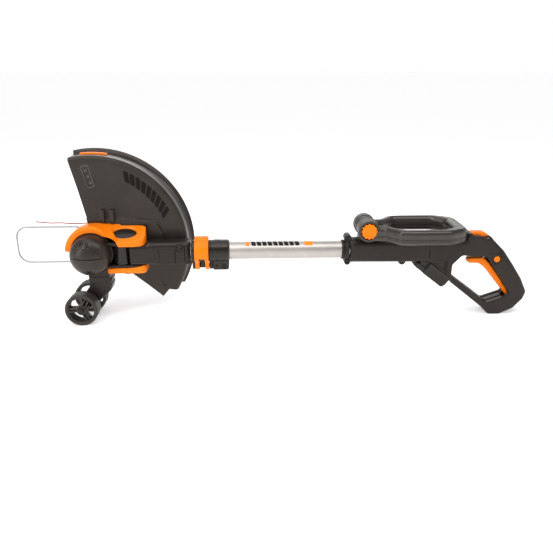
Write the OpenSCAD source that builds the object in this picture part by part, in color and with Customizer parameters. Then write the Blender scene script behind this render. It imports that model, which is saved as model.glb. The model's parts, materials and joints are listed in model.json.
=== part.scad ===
// Cordless lawn edger: a line trimmer on a telescopic shaft, turned on edge and
// standing on its two guide wheels and the heel of its rear handle.
// Inside the modules X runs along the shaft from the spool axis to the handle,
// +Y is the guard side and Z = 0 is the shaft axis. placed() then moves every
// part so that the origin is the centre of the bounding box's base.

/* [Shaft] */
// Outside diameter of the outer tube
outer_tube_d = 30; // [29.5:0.1:30.5]
// Wall of the outer tube
outer_tube_wall = 1.3; // [1.2:0.1:1.4]
// Outside diameter of the inner tube
inner_tube_d = 24; // [23:0.5:24]
// Wall of the inner tube
inner_tube_wall = 1.4; // [1.2:0.1:1.6]
// Spool axis to the front of the locking collar
collar_x = 170; // [170:1:172]
// Length of the locking collar
collar_len = 65; // [63:1:70]
// Radius of the locking collar
collar_r = 19.5; // [19:0.1:19.5]

/* [Cutting head] */
// Radius of the motor dome
dome_r = 35; // [33:0.5:35]
// Spool axis to the tilt pivot
pivot_x = 50; // [50:0.5:52]
// Radius of the tilt pivot barrel
barrel_r = 16; // [15:0.5:16]
// Radius of the guard's skirt, inside
guard_r = 158; // [150:1:160]
// Angle below which the guard's face has no skirt or lip
guard_bare = -32; // [-38:1:-20]
// Radius of the bare part of the face
guard_bare_r = 146.5; // [140:0.5:150]
// Distance from the guard's face to its lip
guard_depth = 50; // [46:1:52]
// Angle of the guard's lower edge about the spool axis
guard_from = -40; // [-45:1:-30]
// Angle of the guard's upper edge about the spool axis
guard_to = 102.6; // [95:0.1:105]
// Spool axis to the far bar of the wire guard
wire_reach = 146; // [140:1:150]
// Radius of the line head
line_head_r = 29; // [27:0.5:29]

/* [Guide wheels] */
// Wheel diameter
wheel_d = 56; // [50:1:56]
// Wheel width
wheel_w = 18; // [14:1:18]
// How far a wheel's rim reaches past its spokes, towards the bracket
rim_reach = 8; // [0:1:8]
// Mid-plane to the inner face of a wheel
wheel_gap = 26; // [26:1:30]
// Wheel axle behind the spool axis
axle_back = 19.5; // [18:0.5:21]

/* [Rear handle] */
// Half the thickness of the handle housing
handle_half = 19; // [18.5:0.5:20]
// Half the width of the battery dock
dock_half = 20; // [18:1:22]
// Trigger half width
trigger_half = 8; // [7:0.5:8]

/* [Front handle] */
// Shaft position of the front handle's pivot
fold_x = 473; // [472:1:474]
// Radius of the front handle's pivot rings
fold_r = 18.6; // [18:0.2:18.6]
// Half the overall width of the front handle
loop_half = 60; // [58:1:62]

/* [Hidden] */
$fn = 64;

// Colours
black = [0.20, 0.19, 0.18];
dark = [0.12, 0.12, 0.12];
orange = [1.0, 0.52, 0.0];
alloy = [0.78, 0.76, 0.74];
steel = [0.66, 0.67, 0.68];
red = [0.85, 0.25, 0.25];

// The bounding box's centre and base, in the modules' own frame
wire_r = 1.4;
handle_end = 764.6;
lip_y = 25 + guard_depth;
mid_x = (handle_end - wire_reach - wire_r) / 2;
mid_y = (lip_y - loop_half) / 2;
floor_z = -120;

// Gaps between bodies: beside a moving face, and round a turning pin
gap = 0.4;
run = 0.05;

// Head stack along Y
dome_front = -50;
dome_shoulder = -25;
base_front = -8;
base_back = 25;
base_r = dome_r + 1;
face_t = 2.5;
plate_back = 35;
spin_y0 = 36;
line_y = 54;
motor_r = 18;
shaft_r = 2.5;
bearing_r = 6;
screw_ring_r = 24;
screw_angles = [20, 65, 165, 262];

// Yoke that holds the barrel, above and below
yoke_top = [14.3, 20];
yoke_low = [-26, -20.3];
barrel_z = [-20, 14];
pin_r = 5;
ring_x = [36, 92];
ring_front = -22;
yoke_front = -17;
yoke_rear = 20;
button_x = 58;
button_half = 13;
button_shift = 8.5;

// Wire guard pivot
wire_pivot = [-12, 31];
wire_z = 32.6;
wire_y = 48;
wire_bend = 20;

// Wheels stand on the floor
axle_z = floor_z + wheel_d / 2;
axle_r = 3;

// Arm and tubes
arm_end = 168;
arm_half = 18;
arm_low = -19;
arm_high = 19.5;
arm_step_x = 94.5;
arm_step_z = 13.7;
tube_start = 112;
inner_end = 510;
neck_end = 530;
neck_r = 10;
outer_start = 178;
outer_end = 560;
outer_r = outer_tube_d / 2;
inner_r = inner_tube_d / 2;
lever_x = [175.4, 199.6];
lever_pin_z = -27;
lever_pin_r = 2;

// Rear handle
housing_x = 442;
housing_h = 20;
trigger_pivot = [736, -89];
trigger_pin_r = 2;
pocket_half = trigger_half + 0.5;
side_button_at = [703, -16];
dock_at = [583, -21];
dock_angle = -37.5;
dock_len = [4, 50];
dock_depth = 21;
fold_z = 39.2;
loop_z = [20.6, 47];
knob_r = 13.5;

// Corner lists: [x, z, corner radius]
housing_outline = [
    [442, -20, 2], [442, 20, 2], [643, 20, 3], [651, 31, 3], [655, 31, 1], [655, 21, 0.5],
    [687, 21, 0.5], [688, 25, 1], [696, 17, 8], [715, -4, 30], [733, -31, 60],
    [751, -56, 60], [766, -80, 9], [759, -93, 12], [742, -110, 14], [718, -120, 16],
    [698, -120, 12], [685, -106, 20], [624, -58, 4], [621, -50.2, 1], [581.7, -20, 4]
];
opening_outline = [
    [625, -46, 5], [625, -26, 8], [641, -9, 8], [686, -12, 10], [696, -28, 20],
    [716, -55, 30], [732, -80, 3], [728, -86, 5], [694, -98, 6]
];
trigger_outline = [
    [655, -26, 4], [655, -17, 4], [684, -16, 6], [695, -27, 10], [716, -54, 40],
    [738.5, -85.5, 2], [733, -92, 2], [708, -61, 40], [690, -38, 18], [676, -27, 10]
];
pocket_outline = [
    [658, -22, 0], [658, -6, 1], [674, -4, 1], [695, -4, 4], [709, -19, 4], [730, -49, 20],
    [749, -84, 4], [744, -98, 3], [730, -98, 3], [720, -84, 3], [698, -40, 3]
];
loop_outer = [
    [478, -31, 2], [499, -32, 6], [521, -58, 9], [545, -60, 40], [606, -60, 34],
    [640, -40, 26], [640, 40, 26], [606, 60, 34], [545, 60, 40], [521, 58, 9],
    [499, 32, 6], [478, 31, 2]
];
loop_inner = [
    [450, -15, 0], [495, -15, 3], [506, -20, 5], [529, -43.4, 10], [598, -43.4, 18],
    [619, -24, 14], [619, 24, 14], [598, 43.4, 18], [529, 43.4, 10], [506, 20, 5],
    [495, 15, 3], [450, 15, 0]
];

// Screws that close the rear handle, driven from the guard side
housing_screw_at = [[536.5, -20], [600, 4], [660, 4], [724, -28], [756, -79], [716, -111], [655, -75.5]];
arm_screw_at = [[80, -4], [100, -13], [100, 12], [160, -15.6]];
collar_screw_x = [213, 228];

// Corners rounded into arcs
function unit(v) = v / norm(v);
function corner(a, b, c, r, steps = 6) =
    r == 0 ? [b] :
    let (
        u = unit(a - b),
        v = unit(c - b),
        half = acos(u * v) / 2,
        start = b + u * r / tan(half),
        finish = b + v * r / tan(half),
        centre = b + unit(u + v) * r / sin(half),
        a0 = atan2(start.y - centre.y, start.x - centre.x),
        a1 = atan2(finish.y - centre.y, finish.x - centre.x),
        sweep = (a1 - a0 + 540) % 360 - 180
    )
    [for (k = [0:steps]) centre + r * [cos(a0 + sweep * k / steps), sin(a0 + sweep * k / steps)]];
function flat(p) = [p[0], p[1]];
function rounded(list) =
    let (n = len(list))
    [
        for (i = [0:n - 1])
            each corner(flat(list[(i + n - 1) % n]), flat(list[i]), flat(list[(i + 1) % n]), list[i][2])
    ];

// Where a point of the dock lies: s along its seat, t down from the housing
function dock_point(s, t) = dock_at
    + s * [cos(dock_angle), sin(dock_angle)]
    + t * [sin(dock_angle), -cos(dock_angle)];

// Bodies along an axis
module placed() {
    translate([-mid_x, -mid_y, -floor_z]) children();
}
module along_x(x0, x1) {
    translate([x0, 0, 0]) rotate([90, 0, 90]) linear_extrude(x1 - x0) children();
}
module along_y(y0, y1) {
    translate([0, y1, 0]) rotate([90, 0, 0]) linear_extrude(y1 - y0) children();
}
module along_z(z0, z1) {
    translate([0, 0, z0]) linear_extrude(z1 - z0) children();
}
module rod_x(r, x0, x1, y = 0, z = 0) {
    translate([x0, y, z]) rotate([0, 90, 0]) cylinder(h = x1 - x0, r = r);
}
module rod_y(r, y0, y1, x = 0, z = 0) {
    translate([x, y1, z]) rotate([90, 0, 0]) cylinder(h = y1 - y0, r = r);
}
module rod_z(r, z0, z1, x = 0, y = 0) {
    translate([x, y, z0]) cylinder(h = z1 - z0, r = r);
}
module block(x, y, z) {
    translate([x[0], y[0], z[0]]) cube([x[1] - x[0], y[1] - y[0], z[1] - z[0]]);
}
// Turned about the spool axis from a list of [radius, y]
module turned_y(points) {
    rotate([-90, 0, 0]) rotate_extrude() polygon(points);
}

// Round wire along a list of points; side is never parallel to the wire
module wire(points, r, side, sides = 8) {
    n = len(points);
    tangents = [for (i = [0:n - 1]) unit(points[min(i + 1, n - 1)] - points[max(i - 1, 0)])];
    rings = [
        for (i = [0:n - 1])
            let (a = unit(cross(tangents[i], side)), b = cross(tangents[i], a))
            for (k = [0:sides - 1]) points[i] + r * (cos(360 * k / sides) * a + sin(360 * k / sides) * b)
    ];
    walls = [
        for (i = [0:n - 2], k = [0:sides - 1])
            let (m = (k + 1) % sides, here = i * sides, next = here + sides)
            each [[here + k, next + k, next + m], [here + k, next + m, here + m]]
    ];
    ends = [[for (k = [0:sides - 1]) k], [for (k = [sides - 1:-1:0]) (n - 1) * sides + k]];
    polyhedron(rings, concat(walls, ends));
}
// Compression spring standing on z0, turned about Z
module coil_z(r, z0, z1, turns = 3, wire = 0.4) {
    steps = 12 * turns;
    rise = z1 - z0 - 2 * wire;
    path = [for (k = [0:steps]) [r * cos(30 * k), r * sin(30 * k), z0 + wire + rise * k / steps]];
    wire(path, wire, [0, 0, 1], 6);
}

// The sector that the guard covers
module guard_sector(reach) {
    steps = 8;
    turn = guard_to - guard_from;
    polygon(concat([[0, 0]], [
        for (k = [0:steps]) reach * [cos(guard_from + turn * k / steps), sin(guard_from + turn * k / steps)]
    ]));
}

// ---- Cutting head ----
module head_base() color(black) placed() difference() {
    union() {
        rod_y(base_r, base_front, base_back);
        block([20, 88], [yoke_front, yoke_rear], yoke_top);
        block([14, 88], [yoke_front, yoke_rear], yoke_low);
    }
    rod_y(dome_r + run, dome_front, base_front);
    rod_y(motor_r, base_front - 1, 8);
    rod_y(bearing_r, 7, 14);
    rod_y(shaft_r + 1, 13, base_back + 1);
    rod_z(barrel_r + gap, barrel_z[0] - 0.3, yoke_top[0], pivot_x);
    rod_z(pin_r, yoke_low[0] - 1, yoke_top[1] + 1, pivot_x);
    for (a = screw_angles)
        rod_y(1.8, 14, base_back + 1, screw_ring_r * cos(a), screw_ring_r * sin(a));
}

module motor_dome() color(black) placed() {
    wall = 2.5;
    outer = [for (a = [90:-10:0]) [dome_r * cos(a), dome_shoulder + (dome_front - dome_shoulder) * sin(a)]];
    inner = [
        for (a = [0:10:90])
            [(dome_r - wall) * cos(a), dome_shoulder + (dome_front - dome_shoulder + wall) * sin(a)]
    ];
    turned_y(concat(outer, [[dome_r, base_front], [dome_r - wall, base_front]], inner));
}

// Saddle over the dome that runs into a ring round the tilt button
module trim_cover() color(orange) placed() difference() {
    union() {
        along_y(-10, 20) difference() {
            union() {
                circle(47);
                polygon([[0, 20], [0, 47], [42, 45], [42, 20]]);
            }
            translate([-60, -60]) square([120, 64]);
            translate([0, -60]) square([60, 74.3]);
            translate([42, -60]) square([60, 120]);
        }
        intersection() {
            along_x(30, ring_x[1])
                polygon([[ring_front, 14.3], [20, 14.3], [20, 44], [ring_front, 22.5]]);
            along_z(0, 60)
                polygon(rounded([
                    [30, ring_front, 16], [ring_x[1], ring_front, 16],
                    [ring_x[1], 20, 14], [30, 20, 0]
                ]));
        }
    }
    rod_y(base_r + run, -30, 30);
    block([0, 88], [yoke_front, yoke_rear + 1], [13, yoke_top[1]]);
    tilt_opening(button_half + gap, 13, 60);
}
module tilt_opening(half, z0, z1) {
    along_z(z0, z1) {
        translate([button_x - button_shift, 0]) circle(half);
        translate([button_x + button_shift, 0]) circle(half);
        translate([button_x - button_shift, -half]) square([2 * button_shift, 2 * half]);
    }
}

module pivot_cover() color(orange) placed() difference() {
    along_z(-34, -20.6)
        polygon(rounded([[25, -20, 6], [92, -20, 10], [92, 20, 10], [25, 20, 6]]));
    block([0, 88], [yoke_front, yoke_rear + 1], [yoke_low[0], 0]);
    block([0, 66], [-30, 30], [yoke_low[0], 0]);
    rod_y(base_r + run, -30, 30);
}

module pivot_cap() color(dark) placed() {
    rod_z(14, -37.5, -34, button_x + 1);
}

module pivot_pin() color(steel) placed() {
    rod_z(pin_r, yoke_low[0], yoke_top[1], pivot_x);
}

module tilt_button() color(dark) placed() intersection() {
    tilt_opening(button_half, 25, 40);
    along_x(30, 100) polygon([[-16, 25], [16, 25], [16, 40], [-16, 24.5]]);
}

module tilt_spring() color(steel) placed() {
    translate([button_x, 0, 0]) coil_z(4, yoke_top[1], 25);
}

module motor_can() color(steel) placed() difference() {
    rod_y(motor_r, -40, 8);
    rod_y(motor_r - 1.5, -38, 6);
    rod_y(bearing_r, -41, 9);
}

module motor_bearings() color(steel) placed() {
    for (y = [-40, 6]) difference() {
        rod_y(bearing_r, y, y + (y < 0 ? 3 : 6));
        rod_y(shaft_r + run / 2, y - 1, y + 8);
    }
}

module motor_shaft() color(steel) placed() {
    rod_y(shaft_r, -40, 61);
}

module motor_rotor() color(dark) placed() difference() {
    rod_y(13, -32, 0);
    rod_y(shaft_r, -33, 1);
    for (a = [0:60:300])
        rod_y(3, -33, 1, 13.5 * cos(a), 13.5 * sin(a));
}

// Clamps the guard's hub and carries the wire guard's two sockets
module rear_plate() color(black) placed() difference() {
    union() {
        rod_y(31, base_back, plate_back);
        for (side = [-1, 1]) {
            z_low = side < 0 ? -30.8 : 14;
            rod_z(3.4, z_low, z_low + 16.8, wire_pivot.x, wire_pivot.y);
        }
    }
    along_y(base_back - 1, base_back + face_t) guard_sector(60);
    rod_y(shaft_r + 1, base_back - 1, plate_back + 1);
    rod_z(wire_r + run, -40, -22, wire_pivot.x, wire_pivot.y);
    rod_z(wire_r + run, 22, 40, wire_pivot.x, wire_pivot.y);
    for (a = screw_angles) {
        rod_y(1.8, base_back - 1, plate_back + 1, screw_ring_r * cos(a), screw_ring_r * sin(a));
        rod_y(3.5, 32, plate_back + 1, screw_ring_r * cos(a), screw_ring_r * sin(a));
    }
}

module head_screws() color(steel) placed() {
    for (a = screw_angles) {
        rod_y(1.8, 14, 32, screw_ring_r * cos(a), screw_ring_r * sin(a));
        rod_y(3.5, 32, 34.5, screw_ring_r * cos(a), screw_ring_r * sin(a));
    }
}

module guard() color(black) placed() {
    difference() {
        intersection() {
            turned_y([
                [5, base_back], [guard_r - 6, base_back], [guard_r + 1.5, base_back + 4],
                [guard_r + 3, base_back + 10], [guard_r + 3, lip_y - 4], [guard_r + 10, lip_y - 2.5],
                [guard_r + 10, lip_y], [guard_r + 2, lip_y], [guard_r, lip_y - 2],
                [guard_r, base_back + 10], [guard_r - 8, base_back + face_t], [5, base_back + face_t]
            ]);
            along_y(0, 100) guard_sector(240);
        }
        for (a = screw_angles)
            rod_y(1.8, base_back - 1, base_back + 4, screw_ring_r * cos(a), screw_ring_r * sin(a));
        intersection() {
            difference() {
                rod_y(guard_r + 20, base_back - 1, lip_y + 1, 0, 0);
                rod_y(guard_bare_r, base_back - 2, lip_y + 2, 0, 0);
            }
            along_y(base_back - 1, lip_y + 1)
                polygon([[0, 0], [240 * cos(-50), 240 * sin(-50)], [240 * cos(guard_bare), 240 * sin(guard_bare)]]);
        }
    }
    for (x = [12, 28.5])
        block([x, x + 8], [16, base_back], [48.5, 68]);
}

// Cuts the line to length at the guard's upper edge
module cutter_blade() color(steel) placed() rotate([0, -guard_to, 0]) difference() {
    block([146, guard_r + 2.5], [50, 68], [0, 1.2]);
    rod_z(2, -1, 2, 153, 62);
}

module blade_cover() color(orange) placed() intersection() {
    difference() {
        rod_y(guard_r + 6, 45.5, 54.5, 0, 0);
        rod_y(guard_r + 3, 44, 56, 0, 0);
    }
    along_y(40, 60) polygon([[0, 0], [220 * cos(96.6), 220 * sin(96.6)], [220 * cos(80.5), 220 * sin(80.5)]]);
}

module wire_guard() color(steel) placed() {
    bar = wire_reach - wire_bend;
    half = [
        [wire_pivot.x, wire_pivot.y, -29], [wire_pivot.x, wire_pivot.y, 1 - wire_z],
        [wire_pivot.x - 1, wire_pivot.y + 0.5, -wire_z], [wire_pivot.x - 5, wire_pivot.y + 3, -wire_z],
        [-38, wire_y - 1, -wire_z], [-44, wire_y, -wire_z],
        for (a = [0:15:90]) [-bar - wire_bend * sin(a), wire_y, wire_bend - wire_z - wire_bend * cos(a)]
    ];
    n = len(half);
    wire(concat(half, [for (i = [n - 1:-1:0]) [half[i].x, half[i].y, -half[i].z]]), wire_r, [0, 1, 0], 10);
    for (z = [-31, 23])
        rod_z(wire_r, z, z + 8, wire_pivot.x, wire_pivot.y);
}

// ---- Spinning line head ----
module line_head() color(dark) placed() difference() {
    union() {
        difference() {
            rod_y(line_head_r, spin_y0, 62);
            rod_y(line_head_r - 2.5, spin_y0 + 3, 63);
        }
        rod_y(5, spin_y0, 61);
    }
    rod_y(shaft_r, spin_y0 - 1, 62);
    for (turn = [0, 180]) rotate([0, turn, 0])
        translate([8, line_y, 20]) cylinder(h = 20, r = 3);
}

module spool() color(black) placed() difference() {
    union() {
        for (y = [40, 57]) rod_y(24, y, y + 2);
        rod_y(13, 41, 58);
    }
    rod_y(5 + run, 39, 60);
}

module line_coil() color(red) placed() difference() {
    rod_y(21, 42, 57);
    rod_y(13, 41, 58);
}

module spool_cap() color(black) placed() {
    turned_y([
        [0, 66], [line_head_r - 6, 66], [line_head_r - 3, 62], [line_head_r, 62],
        [line_head_r, 68], [line_head_r - 5, 73], [0, 74]
    ]);
}

module eyelets() color(steel) placed() {
    for (turn = [0, 180]) rotate([0, turn, 0]) translate([8, line_y, 24.5]) difference() {
        cylinder(h = 5.5, r = 3);
        translate([0, 0, -1]) cylinder(h = 8, r = 1.4);
    }
}

module cutting_line() color(red) placed() {
    wire([
        [8, line_y, 25], [8, line_y, 30], [7.4, line_y, 34], [4, line_y, 37], [-3, line_y, 38.2],
        [-18, line_y, 38], [-35, line_y, 37], [-52, line_y, 37.4], [-68, line_y, 38.6],
        [-84, line_y, 38.4], [-98, line_y, 39.6], [-111, line_y, 41]
    ], 0.85, [0, 1, 0]);
}

// ---- Guide wheels ----
module wheel_bracket() color(black) placed() difference() {
    union() {
        along_y(-16, 16) polygon(rounded([
            [-8, -20, 0], [26, -20, 0], [28, -46, 3], [27.5, -66, 3], [8, -84, 6],
            [-14, -99, 4], [-27, -94, 4], [-25, -80, 6], [-9, -58, 6]
        ]));
        rod_y(8, -25.5, 25.5, -axle_back, axle_z);
    }
    rod_y(base_r + run, -30, 40);
    rod_y(axle_r, -30, 30, -axle_back, axle_z);
    block([10, 100], [-30, 30], [yoke_low[0], 0]);
    block([24, 100], [-30, 30], [-38, -25]);
}

module axle() color(steel) placed() {
    rod_y(axle_r, -46, 46, -axle_back, axle_z);
}

module axle_caps() color(dark) placed() {
    for (y = [-47.5, 44.5]) difference() {
        rod_y(5, y, y + 3, -axle_back, axle_z);
        rod_y(axle_r, min(y + 1.5, 44), max(y + 1.5, -44), -axle_back, axle_z);
    }
}

module wheel(y, from, to) {
    rim = wheel_d / 2;
    translate([-axle_back, y, axle_z]) difference() {
        union() {
            difference() {
                rod_y(rim, from, to);
                rod_y(rim - 5.5, from - 1, to + 1);
            }
            rod_y(6.5, 0, wheel_w);
            for (a = [60, 180, 300], side = [-2.4, 2.4])
                rotate([0, a, 0]) block([4, rim - 4], [2, wheel_w - 2], [side - 0.8, side + 0.8]);
        }
        rod_y(axle_r + run, -1, wheel_w + 1);
    }
}
module wheel_near() color(black) placed() wheel(-wheel_gap - wheel_w, 0, wheel_w + rim_reach);
module wheel_far() color(black) placed() wheel(wheel_gap, -rim_reach, wheel_w);

// ---- Arm and telescopic shaft ----
module pivot_barrel() color(black) placed() difference() {
    rod_z(barrel_r, barrel_z[0], barrel_z[1], pivot_x);
    rod_z(pin_r + run, barrel_z[0] - 1, barrel_z[1] + 1, pivot_x);
}

// side is -1 for the near half and 1 for the far half
module arm_half_shell(side) difference() {
    intersection() {
        along_x(60, arm_end) polygon(rounded([
            [-arm_half, arm_low, 3], [arm_half, arm_low, 3],
            [arm_half, arm_high, 15], [-arm_half, arm_high, 15]
        ]));
        along_z(-40, 40) polygon([[60, -15], [70, -18], [arm_end, -18], [arm_end, 18], [70, 18], [60, 15]]);
        block([0, 200], side < 0 ? [-40, 0] : [0, 40], [-40, 40]);
    }
    block([0, arm_step_x], [-30, 30], [arm_step_z, 40]);
    rod_z(barrel_r, -30, 30, pivot_x);
    rod_x(inner_r, tube_start, arm_end + 1);
    for (p = arm_screw_at) {
        rod_y(1.3, -20, 8, p.x, p.y);
        rod_y(2.6, -20, -16, p.x, p.y);
    }
}
module arm_near() color(black) placed() arm_half_shell(-1);
module arm_far() color(black) placed() arm_half_shell(1);

module arm_screws() color(steel) placed() {
    for (p = arm_screw_at) {
        rod_y(1.3, -16, 8, p.x, p.y);
        rod_y(2.6, -17.6, -16, p.x, p.y);
    }
}

module inner_tube() color(alloy) placed() difference() {
    rod_x(inner_r, tube_start, inner_end);
    rod_x(inner_r - inner_tube_wall, tube_start - 1, inner_end + 1);
}

module tube_plug() color(dark) placed() {
    rod_x(inner_r - inner_tube_wall, inner_end - 14, inner_end);
    rod_x(neck_r, inner_end, neck_end);
    rod_x(13.2, neck_end, neck_end + 4);
}

module tube_bush() color(dark) placed() difference() {
    rod_x(outer_r - outer_tube_wall - run, inner_end + 0.3, neck_end - 0.3);
    rod_x(neck_r + run, inner_end, neck_end);
}

module outer_tube() color(alloy) placed() difference() {
    rod_x(outer_r, outer_start, outer_end);
    rod_x(outer_r - outer_tube_wall, outer_start - 1, outer_end + 1);
}

module collar() color(black) placed() difference() {
    union() {
        rod_x(collar_r, collar_x, collar_x + collar_len);
        for (x = [[collar_x, 175], [200, 206]])
            block(x, [-6, 6], [lever_pin_z - 5, -10]);
        block([206, 234], [-7, 7], [-31, -12]);
    }
    rod_x(inner_r + gap, collar_x - 1, outer_start + 1);
    rod_x(outer_r, outer_start, collar_x + collar_len + 1);
    rod_x(lever_pin_r, collar_x - 1, 206, 0, lever_pin_z);
    for (x = collar_screw_x)
        rod_y(1.8, -8, 8, x, -25);
}

module collar_screws() color(steel) placed() {
    for (x = collar_screw_x) {
        rod_y(1.8, -7, 7, x, -25);
        rod_y(3.4, -9, -7, x, -25);
    }
}

module lever_pin() color(steel) placed() {
    rod_x(lever_pin_r, collar_x, 206, 0, lever_pin_z);
}

module lock_lever() color(orange) placed() difference() {
    union() {
        difference() {
            intersection() {
                rod_x(23.8, lever_x[0], lever_x[1]);
                block(lever_x, [-30, 0], [-30, 30]);
            }
            rod_x(collar_r + gap, lever_x[0] - 1, lever_x[1] + 1);
        }
        block(lever_x, [-6, 4], [20.4, 25.6]);
        rod_x(5, lever_x[0], lever_x[1], 0, lever_pin_z);
        block(lever_x, [-9, 0], [-32, -23]);
    }
    rod_x(lever_pin_r + run, lever_x[0] - 1, lever_x[1] + 1, 0, lever_pin_z);
    block([182.5, 193], [-40, 10], [-40, -9]);
}

// ---- Rear handle ----
module front_flange() color(black) placed() difference() {
    union() {
        rod_x(18, 430, housing_x);
        for (z = [-19.5, 19.5]) rod_y(4.5, -9, 9, 437, z);
    }
    rod_x(outer_r, 429, housing_x + 1);
}

module dock_prism(s, t, half) {
    along_y(-half, half)
        polygon([
            dock_point(s[0], t[0]), dock_point(s[1], t[0]),
            dock_point(s[1], t[1]), dock_point(s[0], t[1])
        ]);
}

// side is -1 for the near half and 1 for the far half
module handle_shell(side) difference() {
    along_y(side < 0 ? -handle_half : 0, side < 0 ? 0 : handle_half) difference() {
        union() {
            polygon(rounded(housing_outline));
            translate([536.5, -19]) circle(6.5);
        }
        polygon(rounded(opening_outline));
    }
    rod_x(outer_r, housing_x - 1, outer_end);
    dock_prism([-20, 60], [0, 30], 30);
    along_y(-pocket_half, pocket_half) polygon(rounded(pocket_outline));
    block([674, 700], [-pocket_half, pocket_half], [-6, 12]);
    block([655.2, 686.8], [-9.6, 9.6], [18.8, 40]);
    rod_y(trigger_pin_r, -12, 12, trigger_pivot.x, trigger_pivot.y);
    rod_y(6.3, -20, -9.8, side_button_at.x, side_button_at.y);
    for (p = housing_screw_at) {
        rod_y(1.5, -12, 20, p.x, p.y);
        rod_y(2.8, 17, 20, p.x, p.y);
    }
}
module handle_near() color(black) placed() handle_shell(-1);
module handle_far() color(black) placed() handle_shell(1);

module housing_screws() color(steel) placed() {
    for (p = housing_screw_at) {
        rod_y(1.5, -12, 17, p.x, p.y);
        rod_y(2.8, 17, 18.6, p.x, p.y);
    }
}

module trigger() color(orange) placed() difference() {
    union() {
        along_y(-trigger_half, trigger_half) polygon(rounded(trigger_outline));
        rod_y(4.5, -trigger_half, trigger_half, trigger_pivot.x, trigger_pivot.y);
    }
    rod_y(trigger_pin_r + run, -20, 20, trigger_pivot.x, trigger_pivot.y);
}

module trigger_pin() color(steel) placed() {
    rod_y(trigger_pin_r, -12, 12, trigger_pivot.x, trigger_pivot.y);
}

module trigger_spring() color(steel) placed() {
    translate([681, 0, 0]) coil_z(3, -15.9, -4, 4, 0.5);
}

module thumb_button() color(orange) placed() {
    along_y(-9, 9) polygon(rounded([
        [656, 22, 1], [656, 29, 3], [662, 31, 6], [680, 30, 8], [686, 26, 3], [686, 22, 1]
    ]));
}

module thumb_spring() color(steel) placed() {
    translate([671, 0, 0]) coil_z(4, 18.8, 22, 2);
}

module side_button() color(orange) placed() {
    rod_y(5.5, -20, -12.5, side_button_at.x, side_button_at.y);
}

module power_switch() color(dark) placed() {
    block([675, 699], [-7, 7], [-4, 11]);
}

module battery_dock() color(black) placed() difference() {
    union() {
        dock_prism(dock_len, [0, dock_depth], dock_half);
        dock_prism([-15, 5], [12, dock_depth - 0.5], 17);
    }
    for (y = [-12, 12])
        translate([0, y, 0]) dock_prism([-16, 24], [8, 18], 1.5);
}

// Contact blades that the battery slides onto
module terminal_block() color(steel) placed() {
    for (y = [-12, 12])
        translate([0, y, 0]) dock_prism([2, 24], [9, 17], 0.6);
}

// ---- Front handle ----
module front_handle_mount() color(black) placed() difference() {
    union() {
        rod_y(17.6, -14.6, 14.6, fold_x, fold_z);
        block([461, 485], [-12, 12], [housing_h, 34]);
    }
    rod_y(4, -20, 20, fold_x, fold_z);
}

module front_handle_bolt() color(steel) placed() {
    rod_y(4, -25.4, 26.3, fold_x, fold_z);
    rod_y(8, 26.3, 30, fold_x, fold_z);
}

module front_handle_loop() color(black) placed() difference() {
    union() {
        along_z(loop_z[0], loop_z[1]) difference() {
            polygon(rounded(loop_outer));
            polygon(rounded(loop_inner));
        }
        rod_y(fold_r, -31, -15, fold_x, fold_z);
        rod_y(fold_r, 15, 31, fold_x, fold_z);
    }
    rod_y(4 + run, -40, 40, fold_x, fold_z);
    rod_y(14.2, -40, -25.5, fold_x, fold_z);
    rod_y(9, 26, 40, fold_x, fold_z);
}

module front_handle_knob() color(orange) placed() {
    lobe = 3;
    rod_y(knob_r - 1.5, -33, -28.5, fold_x, fold_z);
    for (a = [0:30:330])
        rod_y(lobe, -33, -28.5, fold_x + (knob_r - lobe) * cos(a), fold_z + (knob_r - lobe) * sin(a));
}

module knob_spring() color(steel) placed() {
    translate([fold_x, -25.5, fold_z]) rotate([90, 0, 0]) coil_z(6, 0, 3, 2);
}

head_base();
motor_dome();
trim_cover();
pivot_cover();
pivot_cap();
pivot_pin();
tilt_button();
tilt_spring();
motor_can();
motor_bearings();
rear_plate();
head_screws();
guard();
cutter_blade();
blade_cover();
wheel_bracket();
axle();
axle_caps();
wheel_near();
wheel_far();
motor_shaft();
motor_rotor();
line_head();
spool();
line_coil();
spool_cap();
eyelets();
cutting_line();
wire_guard();
pivot_barrel();
arm_near();
arm_far();
arm_screws();
inner_tube();
tube_plug();
tube_bush();
outer_tube();
collar();
collar_screws();
lever_pin();
lock_lever();
front_flange();
handle_near();
handle_far();
housing_screws();
trigger();
trigger_pin();
trigger_spring();
thumb_button();
thumb_spring();
side_button();
power_switch();
battery_dock();
terminal_block();
front_handle_mount();
front_handle_bolt();
front_handle_loop();
front_handle_knob();
knob_spring();
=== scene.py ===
import json
import math

import bmesh
import bpy
import numpy as np
from mathutils import Matrix, Vector
from mathutils.geometry import delaunay_2d_cdt


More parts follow.
